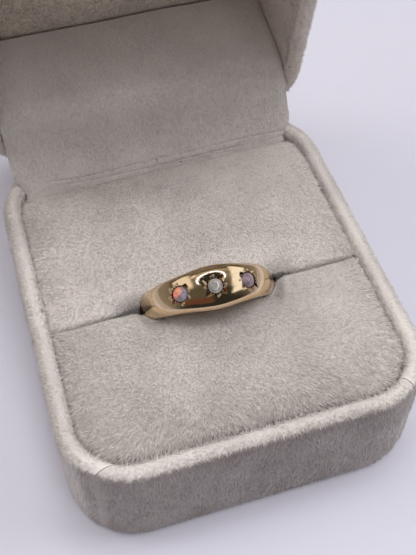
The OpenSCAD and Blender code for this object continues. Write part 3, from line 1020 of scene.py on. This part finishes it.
class RINGBOX_OT_pads(bpy.types.Operator):
    """Makes the two foam pads that hold the ring, with their pile"""
    bl_idname = "ringbox.pads"
    bl_label = "Pads"

    def execute(self, context):
        box, ring, look = settings(context)
        half_w = HALF_WIDTH - box.wall - PAD_GAP
        edge_z = BASE_HEIGHT - box.pad_drop
        round_in = box.corner - box.wall - PAD_GAP
        slot, far = -box.slot_front, HALF_DEPTH - box.crease_in
        front = cushion("pad_front_cloth", half_w, -HALF_DEPTH + box.wall + PAD_GAP,
                        slot - SLOT_HALF, round_in, 0.5 * box.slot_roll, 0.45 * box.pad_roll,
                        0.4 * box.slot_roll, box.floor, edge_z, box.pad_dome, *PAD_GRID,
                        near=box.pad_roll)
        back = cushion("pad_back_cloth", half_w, slot + SLOT_HALF, far, 0.5 * box.slot_roll,
                       box.slot_roll, 0.6 * box.slot_roll, 6 * MM, box.floor, edge_z,
                       box.pad_dome, *PAD_GRID, sink=1.1 * MM)
        # the back pad's far edge leans against the strip, in an uneven line
        points = points_of(back)
        lean = ease(points[:, 2], edge_z - 2.6 * MM, edge_z - 1.1 * MM)
        along = points * (1, 0, 0)
        lean *= ease(points[:, 1], far - 3 * MM, far) * (0.95 + 0.12 * waves(along, 4 * MM, 45))
        points[:, 1] += lean * MM
        move_points(back, points)
        cloth = plush("plush_pads", look.cloth_deep,
                      tinted(look.cloth_light, (1.0, 0.985, 0.97)))

        def rolled(found):
            """1 on the rolled down edges and 0 on the flat top, at the slot and the crease."""
            _, y, z = found.T
            return (ease(-z, -edge_z, -edge_z + 0.5 * MM) * ramp(np.abs(y - slot), 1.5, 3.5)
                    * (1 - 0.9 * ease(y, far - 4 * MM, far - 1.5 * MM)))

        def brim(found):
            """1 along the front and, less, the side edges, where the hair lies longer."""
            x, y, _ = found.T
            return np.clip(ramp(-y, 17, 25) + 0.7 * ramp(np.abs(x), 18, 22), 0, 1)

        for obj, side, node, seed, dense in ((front, -1, "pad_front", 41, 41.0),
                                             (back, 1, "pad_back", 51, 34.5)):
            points = points_of(obj)
            on_top = ease(points[:, 2], edge_z - 2 * MM, edge_z)
            points[:, 2] += on_top * waves(points, 7 * MM, seed) * 0.09 * MM
            move_points(obj, points)
            make_room(obj, side, ring, box)
            smooth(obj, 70)
            middle = points[:, 1].mean()

            def comb(found, normals, middle=middle):
                """Outwards from behind the pad's middle."""
                x, y, z = found.T
                away = np.column_stack([x * 0.9, (y - middle) * 1.2 - 9 * MM, z * 0])
                return away + normals * 1e-6

            def mottle(found, side=side):
                return 1.5 - 0.3 * side + brim(found) + 2.0 * rolled(found)

            def tone(found, side=side):
                """Painted shade beside the band, along the slot and at its end, the ring's painted
                shadow on the front pad, painted light towards the right, the front pad a little
                darker overall as painted shade, and dark strokes of nap on the rolled edges, which
                darken them as painted shade."""
                x, y, _ = found.T
                strokes = waves(found * (1, 0.3, 0.3), 0.55 * MM, 44) * 0.45 - 0.5
                beside = hollow(found, side, ring, box)
                if side > 0:
                    along = np.where(x < 0, ramp(x, -20, -15), 1 - 0.6 * ramp(x, 11, 15))
                    sunk = beside * 0.9 * MM
                    line = bell(y, slot + sunk, 0.45 * MM + 0.3 * sunk)
                    deep = np.minimum(4.5 * beside, 2.3) + (0.6 + 2.6 * along) * line
                    pale = 0.20 * ramp(x, 6, 20)
                else:
                    # the ring's shadow on the front pad, painted
                    ring_shade = spot(found, (1.5 * MM, slot - 4.7 * MM), (9.5, 3.5))
                    slot_end = spot(found, (-half_w, slot), (0.35, 0.7))
                    deep = 0.5 * beside + 3.0 * slot_end + 1.35 * ring_shade
                    pale = 0.30 * ramp(x, 6, 20) - 0.40
                return (pale - deep + 0.14 * waves(found, 5 * MM, 43)
                        + strokes * rolled(found))

            toned(obj, tone)
            hairs = pile(node + "_pile", obj, dense,
                         lambda p: look.pile_length * (0.9 + 0.9 * brim(p) + 0.3 * rolled(p)),
                         look.pile_width, lambda p: np.radians(22 + 14 * rolled(p)), comb, seed,
                         keep=lambda p, n: p[:, 2] > edge_z - 2.2 * MM, tone=tone, mottle=mottle)
            finish_piece(obj, "base", cloth, "pad_plush", node)
            finish_piece(hairs, "base", cloth, "pad_plush")
        return {"FINISHED"}


# the strip over the hinge

def strip_line(box):
    """Middle line of the strip as [y, z] points: foot, waist, round bend and far end."""
    def in_lid(high, deep):
        shut = Vector((0, HALF_DEPTH - high, BASE_HEIGHT + box.rim_gap + deep))
        return (lid_opened() @ shut).yz

    edge_z = BASE_HEIGHT - box.pad_drop
    lining = box.lid_height - box.floor - box.lid_pad - box.lid_pad_dome - box.soft_gap
    foot = Vector((HALF_DEPTH - box.crease_in + box.soft_gap + box.strip_thick / 2,
                   edge_z - box.pad_roll + box.strip_thick / 4))
    knee, end = in_lid(box.strip_high, box.strip_bend), in_lid(box.strip_high, lining)
    u, v = (foot - knee).normalized(), (end - knee).normalized()
    turn = math.pi - math.acos(u.dot(v))
    reach = box.strip_radius * math.tan(turn / 2)
    inwards = (v - u * u.dot(v)).normalized()
    centre = knee + u * reach + inwards * box.strip_radius
    bend = [centre + (-inwards * math.cos(a) - u * math.sin(a)) * box.strip_radius
            for a in np.linspace(0, turn, 12)]
    return np.array([foot, *bend, end])


STRIP_ACROSS = 120
STRIP_ALONG = 100


def creases(x, s):
    """Wrinkles across the strip's foot: 1 in a wrinkle's middle and 0 beside it."""
    across = np.column_stack([x, x * 0, x * 0])
    first = 1.75 * MM + waves(across, 6 * MM, 64) * 0.22 * MM
    second = 2.75 * MM + waves(across, 8 * MM, 65) * 0.25 * MM
    shown = ease(waves(across, 9 * MM, 66), -0.5, 0.6)
    ends = ramp(x, -19.5, -13) * (1 - 0.6 * ramp(x, 12, 19))
    return ends * (bell(s, first, 0.15 * MM) * (1 - 0.8 * shown)
                   + bell(s, second, 0.17 * MM) * (0.25 + 0.75 * shown))


class RINGBOX_OT_strip(bpy.types.Operator):
    """Hangs the cloth strip that crosses the hinge from the crease to the lid's lining"""
    bl_idname = "ringbox.strip"
    bl_label = "Hinge strip"

    def execute(self, context):
        box, _, look = settings(context)
        line = strip_line(box)
        steps = np.linalg.norm(np.diff(line, axis=0), axis=1)
        run = np.concatenate([[0], np.cumsum(steps)])
        total = run[-1]
        deselect()
        bpy.ops.mesh.primitive_grid_add(x_subdivisions=STRIP_ACROSS,
                                        y_subdivisions=STRIP_ALONG, size=2)
        strip = named("hinge_cover_cloth")
        flat = points_of(strip)
        s = ((flat[:, 1] + 1) / 2) ** 2 * total
        y, z = np.interp(s, run, line[:, 0]), np.interp(s, run, line[:, 1])
        slope = np.gradient(line, run, axis=0)
        ty, tz = np.interp(s, run, slope[:, 0]), np.interp(s, run, slope[:, 1])
        out_y, out_z = -tz / np.hypot(ty, tz), ty / np.hypot(ty, tz)
        rim = BASE_HEIGHT
        half = np.interp(z, [line[0, 1], rim - 1.0 * MM, rim, rim + 1.0 * MM, line[-1, 1]],
                         np.array([21.3, 20.9, 21.4, 22.3, 22.4]) * MM)
        x = flat[:, 0] * half
        soft = waves(np.column_stack([x, s, x * 0]), 9 * MM, 62) * 0.07 * MM
        curl = ease(np.abs(flat[:, 0]), 0.95, 1.0) * 0.2 * MM
        lift = soft - curl - creases(x, s) * 0.24 * MM
        move_points(strip, np.column_stack([x, y + out_y * lift, z + out_z * lift]))
        modify(strip, "SOLIDIFY", thickness=box.strip_thick * 0.8, offset=0)
        smooth(strip, 60)
        # lift makes the strip's cloth paler, as painted light
        cloth = plush("plush_strip", look.cloth_deep, look.cloth_light, nap=(1, 0.5, 0.5),
                      lift=0.08)
        foot, upper = line[0, 1], line[-1, 1]

        def tone(points):
            """Painted shade from a little above the foot, painted light towards the lid and painted
            shade in the wrinkles.
            """
            up = points[:, 2] - foot
            along = up / 0.862    # the strip leans, so a length on it is more than its height
            return (0.8 * ease(up, 0.6 * (upper - foot), upper - foot) - 0.75 * ramp(up, 2, 8)
                    - 0.9 * creases(points[:, 0], along) * (up < 4 * MM))

        toned(strip, tone)
        down = Vector((0, line[0, 0] - line[1, 0], line[0, 1] - line[1, 1])).normalized()

        def comb(points, normals):
            return np.tile([0.12, down.y, down.z], (len(points), 1))

        hairs = pile("hinge_cover_pile", strip, 11.0, 0.45 * MM, 0.13 * MM, math.radians(16),
                     comb, 63, tone=tone, crisp=0.25, mottle=0.45)
        for obj in (strip, hairs):
            obj.data.materials.append(cloth)
        for obj in (strip, hairs):
            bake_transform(obj)
        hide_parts("hinge_cover")
        return {"FINISHED"}


# the ring

# band from the crown to the back: angle, share of the crown's extra width and thickness
BAND = ((0, 1.00, 1.00), (30, 0.71, 0.92), (60, 0.48, 0.60), (90, 0.14, 0.36),
        (120, 0.04, 0.15), (150, 0.00, 0.03), (180, 0.00, 0.00))
BAND_STEP = 30


def band_share(degrees, column):
    """A smooth curve through one column of BAND, the same on both sides of the crown."""
    last = len(BAND) - 1
    place = abs(degrees) / BAND_STEP
    i = min(int(place), last - 1)
    t = place - i
    p, q, r, s = (BAND[last - abs(last - abs(k))][column] for k in (i - 1, i, i + 1, i + 2))
    return q + t * ((r - p) / 2 + t * ((2 * p - 5 * q + 4 * r - s) / 2
                    + t * (3 * q - p - 3 * r + s) / 2))


def band_width(degrees, ring):
    return ring.shank_width + (ring.crown_width - ring.shank_width) * band_share(degrees, 1)


def band_thick(degrees, ring):
    return ring.shank_thick + (ring.crown_thick - ring.shank_thick) * band_share(degrees, 2)


BAND_AROUND = 288
BAND_ACROSS = 56


def band(ring):
    """The band without its seats: a torus whose rings are drawn out to the band's sections."""
    deselect()
    bpy.ops.mesh.primitive_torus_add(major_segments=BAND_AROUND, minor_segments=BAND_ACROSS,
                                     major_radius=ring.bore, minor_radius=ring.shank_thick)
    made = named("ring_gold")
    found = points_of(made)
    around = np.arctan2(found[:, 0], found[:, 1])
    out = np.hypot(found[:, 0], found[:, 1]) - ring.bore
    section = np.arctan2(out, found[:, 2])
    degrees = np.degrees(around)
    half = np.array([band_width(a, ring) for a in degrees]) / 2
    outer = ring.bore + np.array([band_thick(a, ring) for a in degrees])
    swell = ring.crown_swell * half * 2 / ring.crown_width
    # the section's angle runs over the top for positive out and along the bore for negative
    top = out > -1e-9
    across = np.cos(section)
    s = np.where(top, np.sign(across) * np.sin(np.abs(across) * math.pi / 2) ** 0.8, across)
    s = np.where(top, s, np.clip(across * 1.02, -1, 1))
    edge = ring.edge_round * np.interp(np.abs(s), [0, 0.55, 0.75, 0.88, 0.96, 1],
                                       [0, 0, 0.02, 0.15, 0.45, 1])
    shank = ease(np.abs(degrees), 46, 66)
    edge += shank * (0.40 * MM * np.abs(s) ** 2.6 - 0.6 * edge)
    boat = ((s / np.where(s < 0, 0.915, 0.88)) ** 4
            + (degrees / np.where(degrees < 0, 52, 50)) ** 4) ** 0.25
    edge += ring.crown_step * (ease(boat, 0.97, 1.25) - 0.4)
    inner_round = 0.08 * MM * ease(np.abs(s), 0.9, 1.0)
    radius = np.where(top, outer - swell * s ** 2 - edge, ring.bore + inner_round)
    y = s * half
    move_points(made, np.column_stack([radius * np.sin(around), y, radius * np.cos(around)]))
    with Shaping(made) as shaping:
        shaping.face_out(merge=True)
    return made


def at_stone(degrees, ring):
    """From a stone's own frame, Z out of the metal and X along the band, to the ring's."""
    turn = math.radians(degrees)
    return (Matrix.Rotation(turn, 4, "Y")
            @ Matrix.Translation((0, 0, ring.bore + band_thick(degrees, ring))))


def ray_cutter(ring, degrees, turn, reach):
    """One ray of the star: a three-sided spike whose point lies on the surface."""
    deselect()
    bpy.ops.mesh.primitive_cone_add(vertices=3, radius1=1, radius2=0, depth=1)
    spike = named("ray")
    near, lift, deep = ring.stone * 0.8, 0.3 * MM, ring.ray_deep
    wide = ring.ray_half * (deep + lift) / deep
    drop = reach ** 2 / (2 * (ring.bore + ring.crown_thick)) * 0.9
    move_points(spike, np.array([[near, -wide, lift], [near, 0, -deep],
                                 [near, wide, lift], [reach, 0, 0.02 * MM - drop]]))
    with Shaping(spike) as shaping:
        shaping.face_out()
    settle(spike, at_stone(degrees, ring) @ Matrix.Rotation(turn, 4, "Z"))
    return spike


def note_cuts(gold, whole):
    """Notes at each point how deep it was cut into the whole band, as a share of 0.25 mm."""
    depth = [whole.find_nearest(v.co)[3] for v in gold.data.vertices]
    note(gold.data, "cut_depth", ramp(np.array(depth), 0.01, 0.25))


SEAT_SIDES = 64
SEAT_GAP = 0.21 * MM        # the bright round cut between a stone and its rays


def seat_cutter(ring, degrees):
    deselect()
    bpy.ops.mesh.primitive_cylinder_add(vertices=SEAT_SIDES, radius=ring.stone + SEAT_GAP,
                                        depth=2 * ring.seat)
    seat = named("seat")
    settle(seat, at_stone(degrees, ring))
    return seat


TEETH = 16


def grains(ring, degrees):
    """The raised grains at the four quarters, and the small teeth that hold the stone."""
    rng = np.random.default_rng(71 + int(degrees))
    made = []
    place = at_stone(degrees, ring)
    outer = ring.bore + ring.crown_thick
    spots = []
    for quarter in range(4):
        turn = quarter * math.pi / 2
        spots.append((turn + rng.uniform(-0.1, 0.1), ring.grain_out * rng.uniform(0.95, 1.0),
                      ring.grain * rng.uniform(0.75, 0.9), 0.8))
        spots.append((turn + rng.choice((-1, 1)) * rng.uniform(0.26, 0.36),
                      ring.grain_out * rng.uniform(0.88, 0.96), ring.grain * 0.6, 0.9))
    spots += [(2 * math.pi * (k + rng.uniform(-0.25, 0.25)) / TEETH, ring.stone + 0.15 * MM,
               rng.uniform(0.07, 0.1) * MM, 1.0) for k in range(TEETH)]
    for turn, out, radius, flat in spots:
        deselect()
        drop = (out * math.cos(turn)) ** 2 / (2 * outer) + 0.5 * (out * math.sin(turn)) ** 2 / outer
        bpy.ops.mesh.primitive_ico_sphere_add(
            subdivisions=3 if radius > 0.15 * MM else 2, radius=radius,
            location=(out * math.cos(turn), out * math.sin(turn), -drop - 0.02 * MM),
            scale=(1, 1, flat))
        grain = named("grain")
        settle(grain, place)
        made.append(grain)
    return made


class RINGBOX_OT_ring(bpy.types.Operator):
    """Makes the gold band with its star cut seats"""
    bl_idname = "ringbox.ring"
    bl_label = "Ring"

    def execute(self, context):
        box, ring, look = settings(context)
        made = band(ring)
        whole = BVHTree.FromPolygons([v.co.copy() for v in made.data.vertices],
                                     [tuple(p.vertices) for p in made.data.polygons])
        step = math.degrees(ring.stone_step)
        stones = (-step, 0.0, step)
        rng = np.random.default_rng(81)
        for degrees in stones:
            cut(made, seat_cutter(ring, degrees))
            for turn in (ring.ray_turn, math.pi - ring.ray_turn, math.pi + ring.ray_turn,
                         -ring.ray_turn):
                cut(made, ray_cutter(ring, degrees, turn + rng.uniform(-0.06, 0.06),
                                     ring.ray_reach * rng.uniform(0.93, 1.05)))
        note_cuts(made, whole)
        smooth(made, 24)
        beads = [g for degrees in stones for g in grains(ring, degrees)]
        for bead in beads:
            choose(bead)
            bpy.ops.object.shade_smooth()
        join(made, *beads)
        settle(made, ring_place(ring, box))
        finish_piece(made, "base", gold_finish(look), "gold", "ring")
        return {"FINISHED"}


class RINGBOX_OT_opals(bpy.types.Operator):
    """Turns the three opals and sets them in their seats"""
    bl_idname = "ringbox.opals"
    bl_label = "Opals"

    def execute(self, context):
        box, ring, look = settings(context)
        step = math.degrees(ring.stone_step)
        orange, red, green = (1.0, 0.30, 0.10), (0.95, 0.12, 0.08), (0.45, 0.62, 0.50)
        violet, rose = (0.33, 0.29, 0.40), (0.50, 0.34, 0.38)
        top = ring.girdle / MM + ring.cabochon / MM
        rows = (("opal_left", "opal_flash", -step, look.opal_flash,
                 [(violet, (0.5, -0.2, 0.3), 0.9), (red, (-0.50, 0.0, 0.5), 0.75),
                  (orange, (-0.22, 0.35, 0.6), 0.9)], None),
                ("opal_centre", "opal_milk", 0.0, look.opal_milk,
                 [(green, (0.0, -0.55, 0.5), 0.55), (rose, (0.5, 0.3, 0.5), 0.5)],
                 ((-0.17, 0.05, top), 0.60, (-0.26, 0.07, top), 0.575)),
                ("opal_right", "opal_mauve", step, look.opal_mauve,
                 [(violet, (-0.2, -0.2, 0.3), 0.7), (rose, (0.3, 0.4, 0.3), 0.8)], None))
        for node, slot, degrees, body, flashes, crescent_highlight in rows:
            stone = cabochon(node + "_stone", ring)
            place = ring_place(ring, box) @ at_stone(degrees, ring)
            place = place @ Matrix.Translation((0, 0, -ring.seat))
            settle(stone, place)
            turn = place.to_3x3()
            centre = place.translation
            spread = [(tint, tuple(turn @ Vector(away)), reach) for tint, away, reach in flashes]
            # the middle opal's pale crescent is a painted highlight
            if crescent_highlight:
                outer, wide, inner, narrow = crescent_highlight
                crescent_highlight = ((0.57, 0.56, 0.66), (turn @ Vector(outer), wide),
                        (turn @ Vector(inner), narrow))
            finish = opal_finish(node + "_gem", body, tuple(centre), spread, crescent_highlight)
            finish_piece(stone, "base", finish, slot, node)
        return {"FINISHED"}


STONE_STEPS = 72
DOME_STEPS = 14


def cabochon(name, ring):
    """A round cabochon on its flat base, turned from its profile."""
    ball = (ring.stone ** 2 + ring.cabochon ** 2) / (2 * ring.cabochon)
    most = math.asin(ring.stone / ball)
    bevel = 0.06 * MM
    low = [(0, 0), (ring.stone - bevel, 0), (ring.stone, bevel), (ring.stone, ring.girdle)]
    dome = [(ball * math.sin(a), ring.girdle + ring.cabochon - ball * (1 - math.cos(a)))
            for a in np.linspace(most, 0, DOME_STEPS)[1:]]
    profile = low + dome
    mesh = bpy.data.meshes.new(name)
    mesh.from_pydata([(r, 0, z) for r, z in profile],
                     [(i, i + 1) for i in range(len(profile) - 1)], [])
    stone = placed(mesh)
    with Shaping(stone) as shaping:
        bpy.ops.mesh.select_all(action="SELECT")
        bpy.ops.mesh.spin(steps=STONE_STEPS, angle=2 * math.pi, center=(0, 0, 0),
                          axis=(0, 0, 1))
        shaping.face_out(merge=True)
    smooth(stone, 40)
    return stone


class RINGBOX_OT_pin(bpy.types.Operator):
    """Gives the hinge pin its drawn steel"""
    bl_idname = "ringbox.pin"
    bl_label = "Hinge pin"

    def execute(self, context):
        pin = frame["nodes"]["hinge_pin"]
        pin.data.materials.clear()
        pin.data.materials.append(steel_finish(context.scene.ringbox_finish))
        return {"FINISHED"}


# the stage

# the camera that was fitted to the photo: its place, and its ways to the right and up
CAMERA_PLACE = (-21.301 * MM, -74.078 * MM, 117.846 * MM)
CAMERA_RIGHT = (0.95483, -0.29709, -0.00587)
CAMERA_UP = (0.24051, 0.76106, 0.60244)


def studio_world(world):
    """Soft studio surroundings: windows left and right, a lamp above, a dark front and back.
    Each has its place on a ceiling one unit up."""
    sky = Finish(world)
    towards = sky.node("ShaderNodeTexCoord", out="Generated")
    split = sky.node("ShaderNodeSeparateXYZ", None, towards)
    x, y, z = (Value(sky, socket) for socket in split.socket.node.outputs)
    up = sky.node("ShaderNodeMath", {"operation": "MAXIMUM"}, z, 0.08)
    cx, cy = x / up, y / up

    def pane(x0, x1, y0, y1, soft):
        return (cx.rise(x0 - soft, x0 + soft) * (1.0 - cx.rise(x1 - soft, x1 + soft))
                * cy.rise(y0 - soft, y0 + soft) * (1.0 - cy.rise(y1 - soft, y1 + soft)))

    def oval(x0, y0, half_x, half_y, soft):
        """1 inside an oval and 0 outside it."""
        far = (((cx - x0) / half_x) ** 2.0 + ((cy - y0) / half_y) ** 2.0) ** 0.5
        return 1.0 - far.rise(1 - soft, 1 + soft)

    dark = (0.030, 0.030, 0.028)
    room = sky.mix(z.rise(0.05, 0.45), (0.27, 0.245, 0.22), (0.21, 0.19, 0.165))
    room = sky.mix(y.rise(-0.75, -0.2), dark, room)
    layers = (
        (pane(-1.6, 1.6, 0.25, 4.0, 0.10), (0.10, 0.09, 0.06)),       # the room behind the lid
        (pane(-0.6, 0.75, 0.12, 0.26, 0.05), (0.42, 0.38, 0.30)),     # paler ceiling
        (pane(-0.42, -0.27, 0.12, 0.28, 0.03), (0.85, 0.80, 0.70)),   # a pale patch in it
        (pane(-1.30, -0.47, -0.30, 0.80, 0.05), (0.92, 0.88, 0.84)),  # left window
        (pane(0.74, 1.75, -1.00, 0.55, 0.05), (1.08, 1.09, 1.10)),    # right window
        (pane(-0.9, 0.60, -1.5, -0.25, 0.12), (0.11, 0.10, 0.08)),    # front, out of the light
        (pane(-1.9, 0.0, -1.45, -0.85, 0.06), (0.14, 0.062, 0.042)),   # a warm brown card
        (pane(0.0, 0.85, -1.7, -0.55, 0.12), dark),                   # a black card
        (oval(0.10, -0.11, 0.42, 0.265, 0.04) * cy.rise(-0.27, -0.17), (3.4, 3.6, 4.6)),  # lamp
        (oval(0.10, -0.135, 0.382, 0.25, 0.04), dark),                # the shade in its middle
        (1.0 - z.rise(0.09, 0.115), (0.46, 0.45, 0.50)),             # the table's far haze
    )
    for mask, tint in layers:
        room = sky.mix(mask, room, tint)
    sky.node("ShaderNodeOutputWorld", None, sky.node("ShaderNodeBackground", None, room, 1.0))


LAMP_DISTANCE = 1.3
LAMP_TARGET = Vector((0, 0, 15 * MM))


def lamp(name, way, size, share_of_white, tint=(1, 1, 1)):
    """A soft lamp that way from the box, as bright on it as that share of white."""
    at = LAMP_TARGET + Vector(way).normalized() * LAMP_DISTANCE
    bpy.ops.object.light_add(type="AREA", location=at)
    light = named(name)
    light.rotation_euler = (LAMP_TARGET - at).to_track_quat("-Z", "Y").to_euler()
    light.data.size = size
    light.data.color = tint
    light.data.energy = share_of_white * (math.pi * LAMP_DISTANCE) ** 2
    light.visible_camera = light.visible_glossy = False


class RINGBOX_OT_stage(bpy.types.Operator):
    """Lays the pale floor, sets the soft light and places the camera"""
    bl_idname = "ringbox.stage"
    bl_label = "Stage"

    def execute(self, context):
        stage = context.scene.ringbox_stage
        deselect()
        bpy.ops.mesh.primitive_plane_add(size=stage.floor_size, location=(0, 0, 0))
        floor = named("table_top")
        paper = Finish(bpy.data.materials.new("pale_table"))
        grain = paper.noise(paper.place(), 260, 3, 0.5)
        pale = tinted(stage.floor, 0.985)
        floor.data.materials.append(paper.surface(
            Base_Color=paper.mix(grain, pale, tuple(stage.floor)), Roughness=0.6,
            Specular_IOR_Level=0.3))
        world = bpy.data.worlds.new("soft_studio")
        context.scene.world = world
        studio_world(world)
        lamp("lamp_above", (0.10, 0.10, 1.0), 0.55, stage.above)
        lamp("lamp_front", (0.05, -0.45, 1.0), 0.60, stage.front)
        lamp("window_left", (-0.60, 0.38, 0.95), 0.50, stage.left, (1.0, 0.955, 0.92))
        lamp("window_right", (0.80, -0.10, 0.85), 0.50, stage.right, (0.99, 1.0, 1.0))
        lamp("lamp_low", (0.0, -1.0, 0.30), 0.60, stage.low)

        bpy.ops.object.camera_add()
        camera = named("photo_camera")
        right, up = Vector(CAMERA_RIGHT), Vector(CAMERA_UP)
        turn = Matrix((right, up, right.cross(up))).transposed()
        camera.matrix_world = Matrix.Translation(CAMERA_PLACE) @ turn.to_4x4()
        camera.data.lens = stage.lens
        camera.data.sensor_width = 36
        camera.data.clip_start, camera.data.clip_end = 0.005, 20
        context.scene.camera = camera
        context.scene.view_settings.view_transform = "Standard"
        return {"FINISHED"}


class RINGBOX_PT_panel(bpy.types.Panel):
    """Lists the pieces of the ring box"""
    bl_idname = "RINGBOX_PT_panel"
    bl_label = "Ring box"
    bl_space_type = "VIEW_3D"
    bl_region_type = "UI"
    bl_category = "Ring box"

    def draw(self, context):
        for maker in MAKERS:
            self.layout.operator(maker.bl_idname)
        for group in GROUPS:
            settings = getattr(context.scene, group)
            for name in settings.bl_rna.properties.keys():
                if name not in {"rna_type", "name"}:
                    self.layout.prop(settings, name)


GROUPS = {"ringbox_box": RINGBOX_PG_box, "ringbox_ring": RINGBOX_PG_ring,
          "ringbox_finish": RINGBOX_PG_finish, "ringbox_stage": RINGBOX_PG_stage}
MAKERS = (RINGBOX_OT_stage, RINGBOX_OT_base, RINGBOX_OT_pads, RINGBOX_OT_lid,
          RINGBOX_OT_strip, RINGBOX_OT_ring, RINGBOX_OT_opals, RINGBOX_OT_pin)
CLASSES = (*GROUPS.values(), *MAKERS, RINGBOX_PT_panel)


def register():
    for cls in CLASSES:
        bpy.utils.register_class(cls)
    for name, group in GROUPS.items():
        setattr(bpy.types.Scene, name, PointerProperty(type=group))


def unregister():
    for name in GROUPS:
        delattr(bpy.types.Scene, name)
    for cls in reversed(CLASSES):
        bpy.utils.unregister_class(cls)


def main():
    """Makes every piece in order."""
    register()
    for maker in MAKERS:
        group, name = maker.bl_idname.split(".")
        getattr(getattr(bpy.ops, group), name)()


if __name__ == "__main__":
    main()
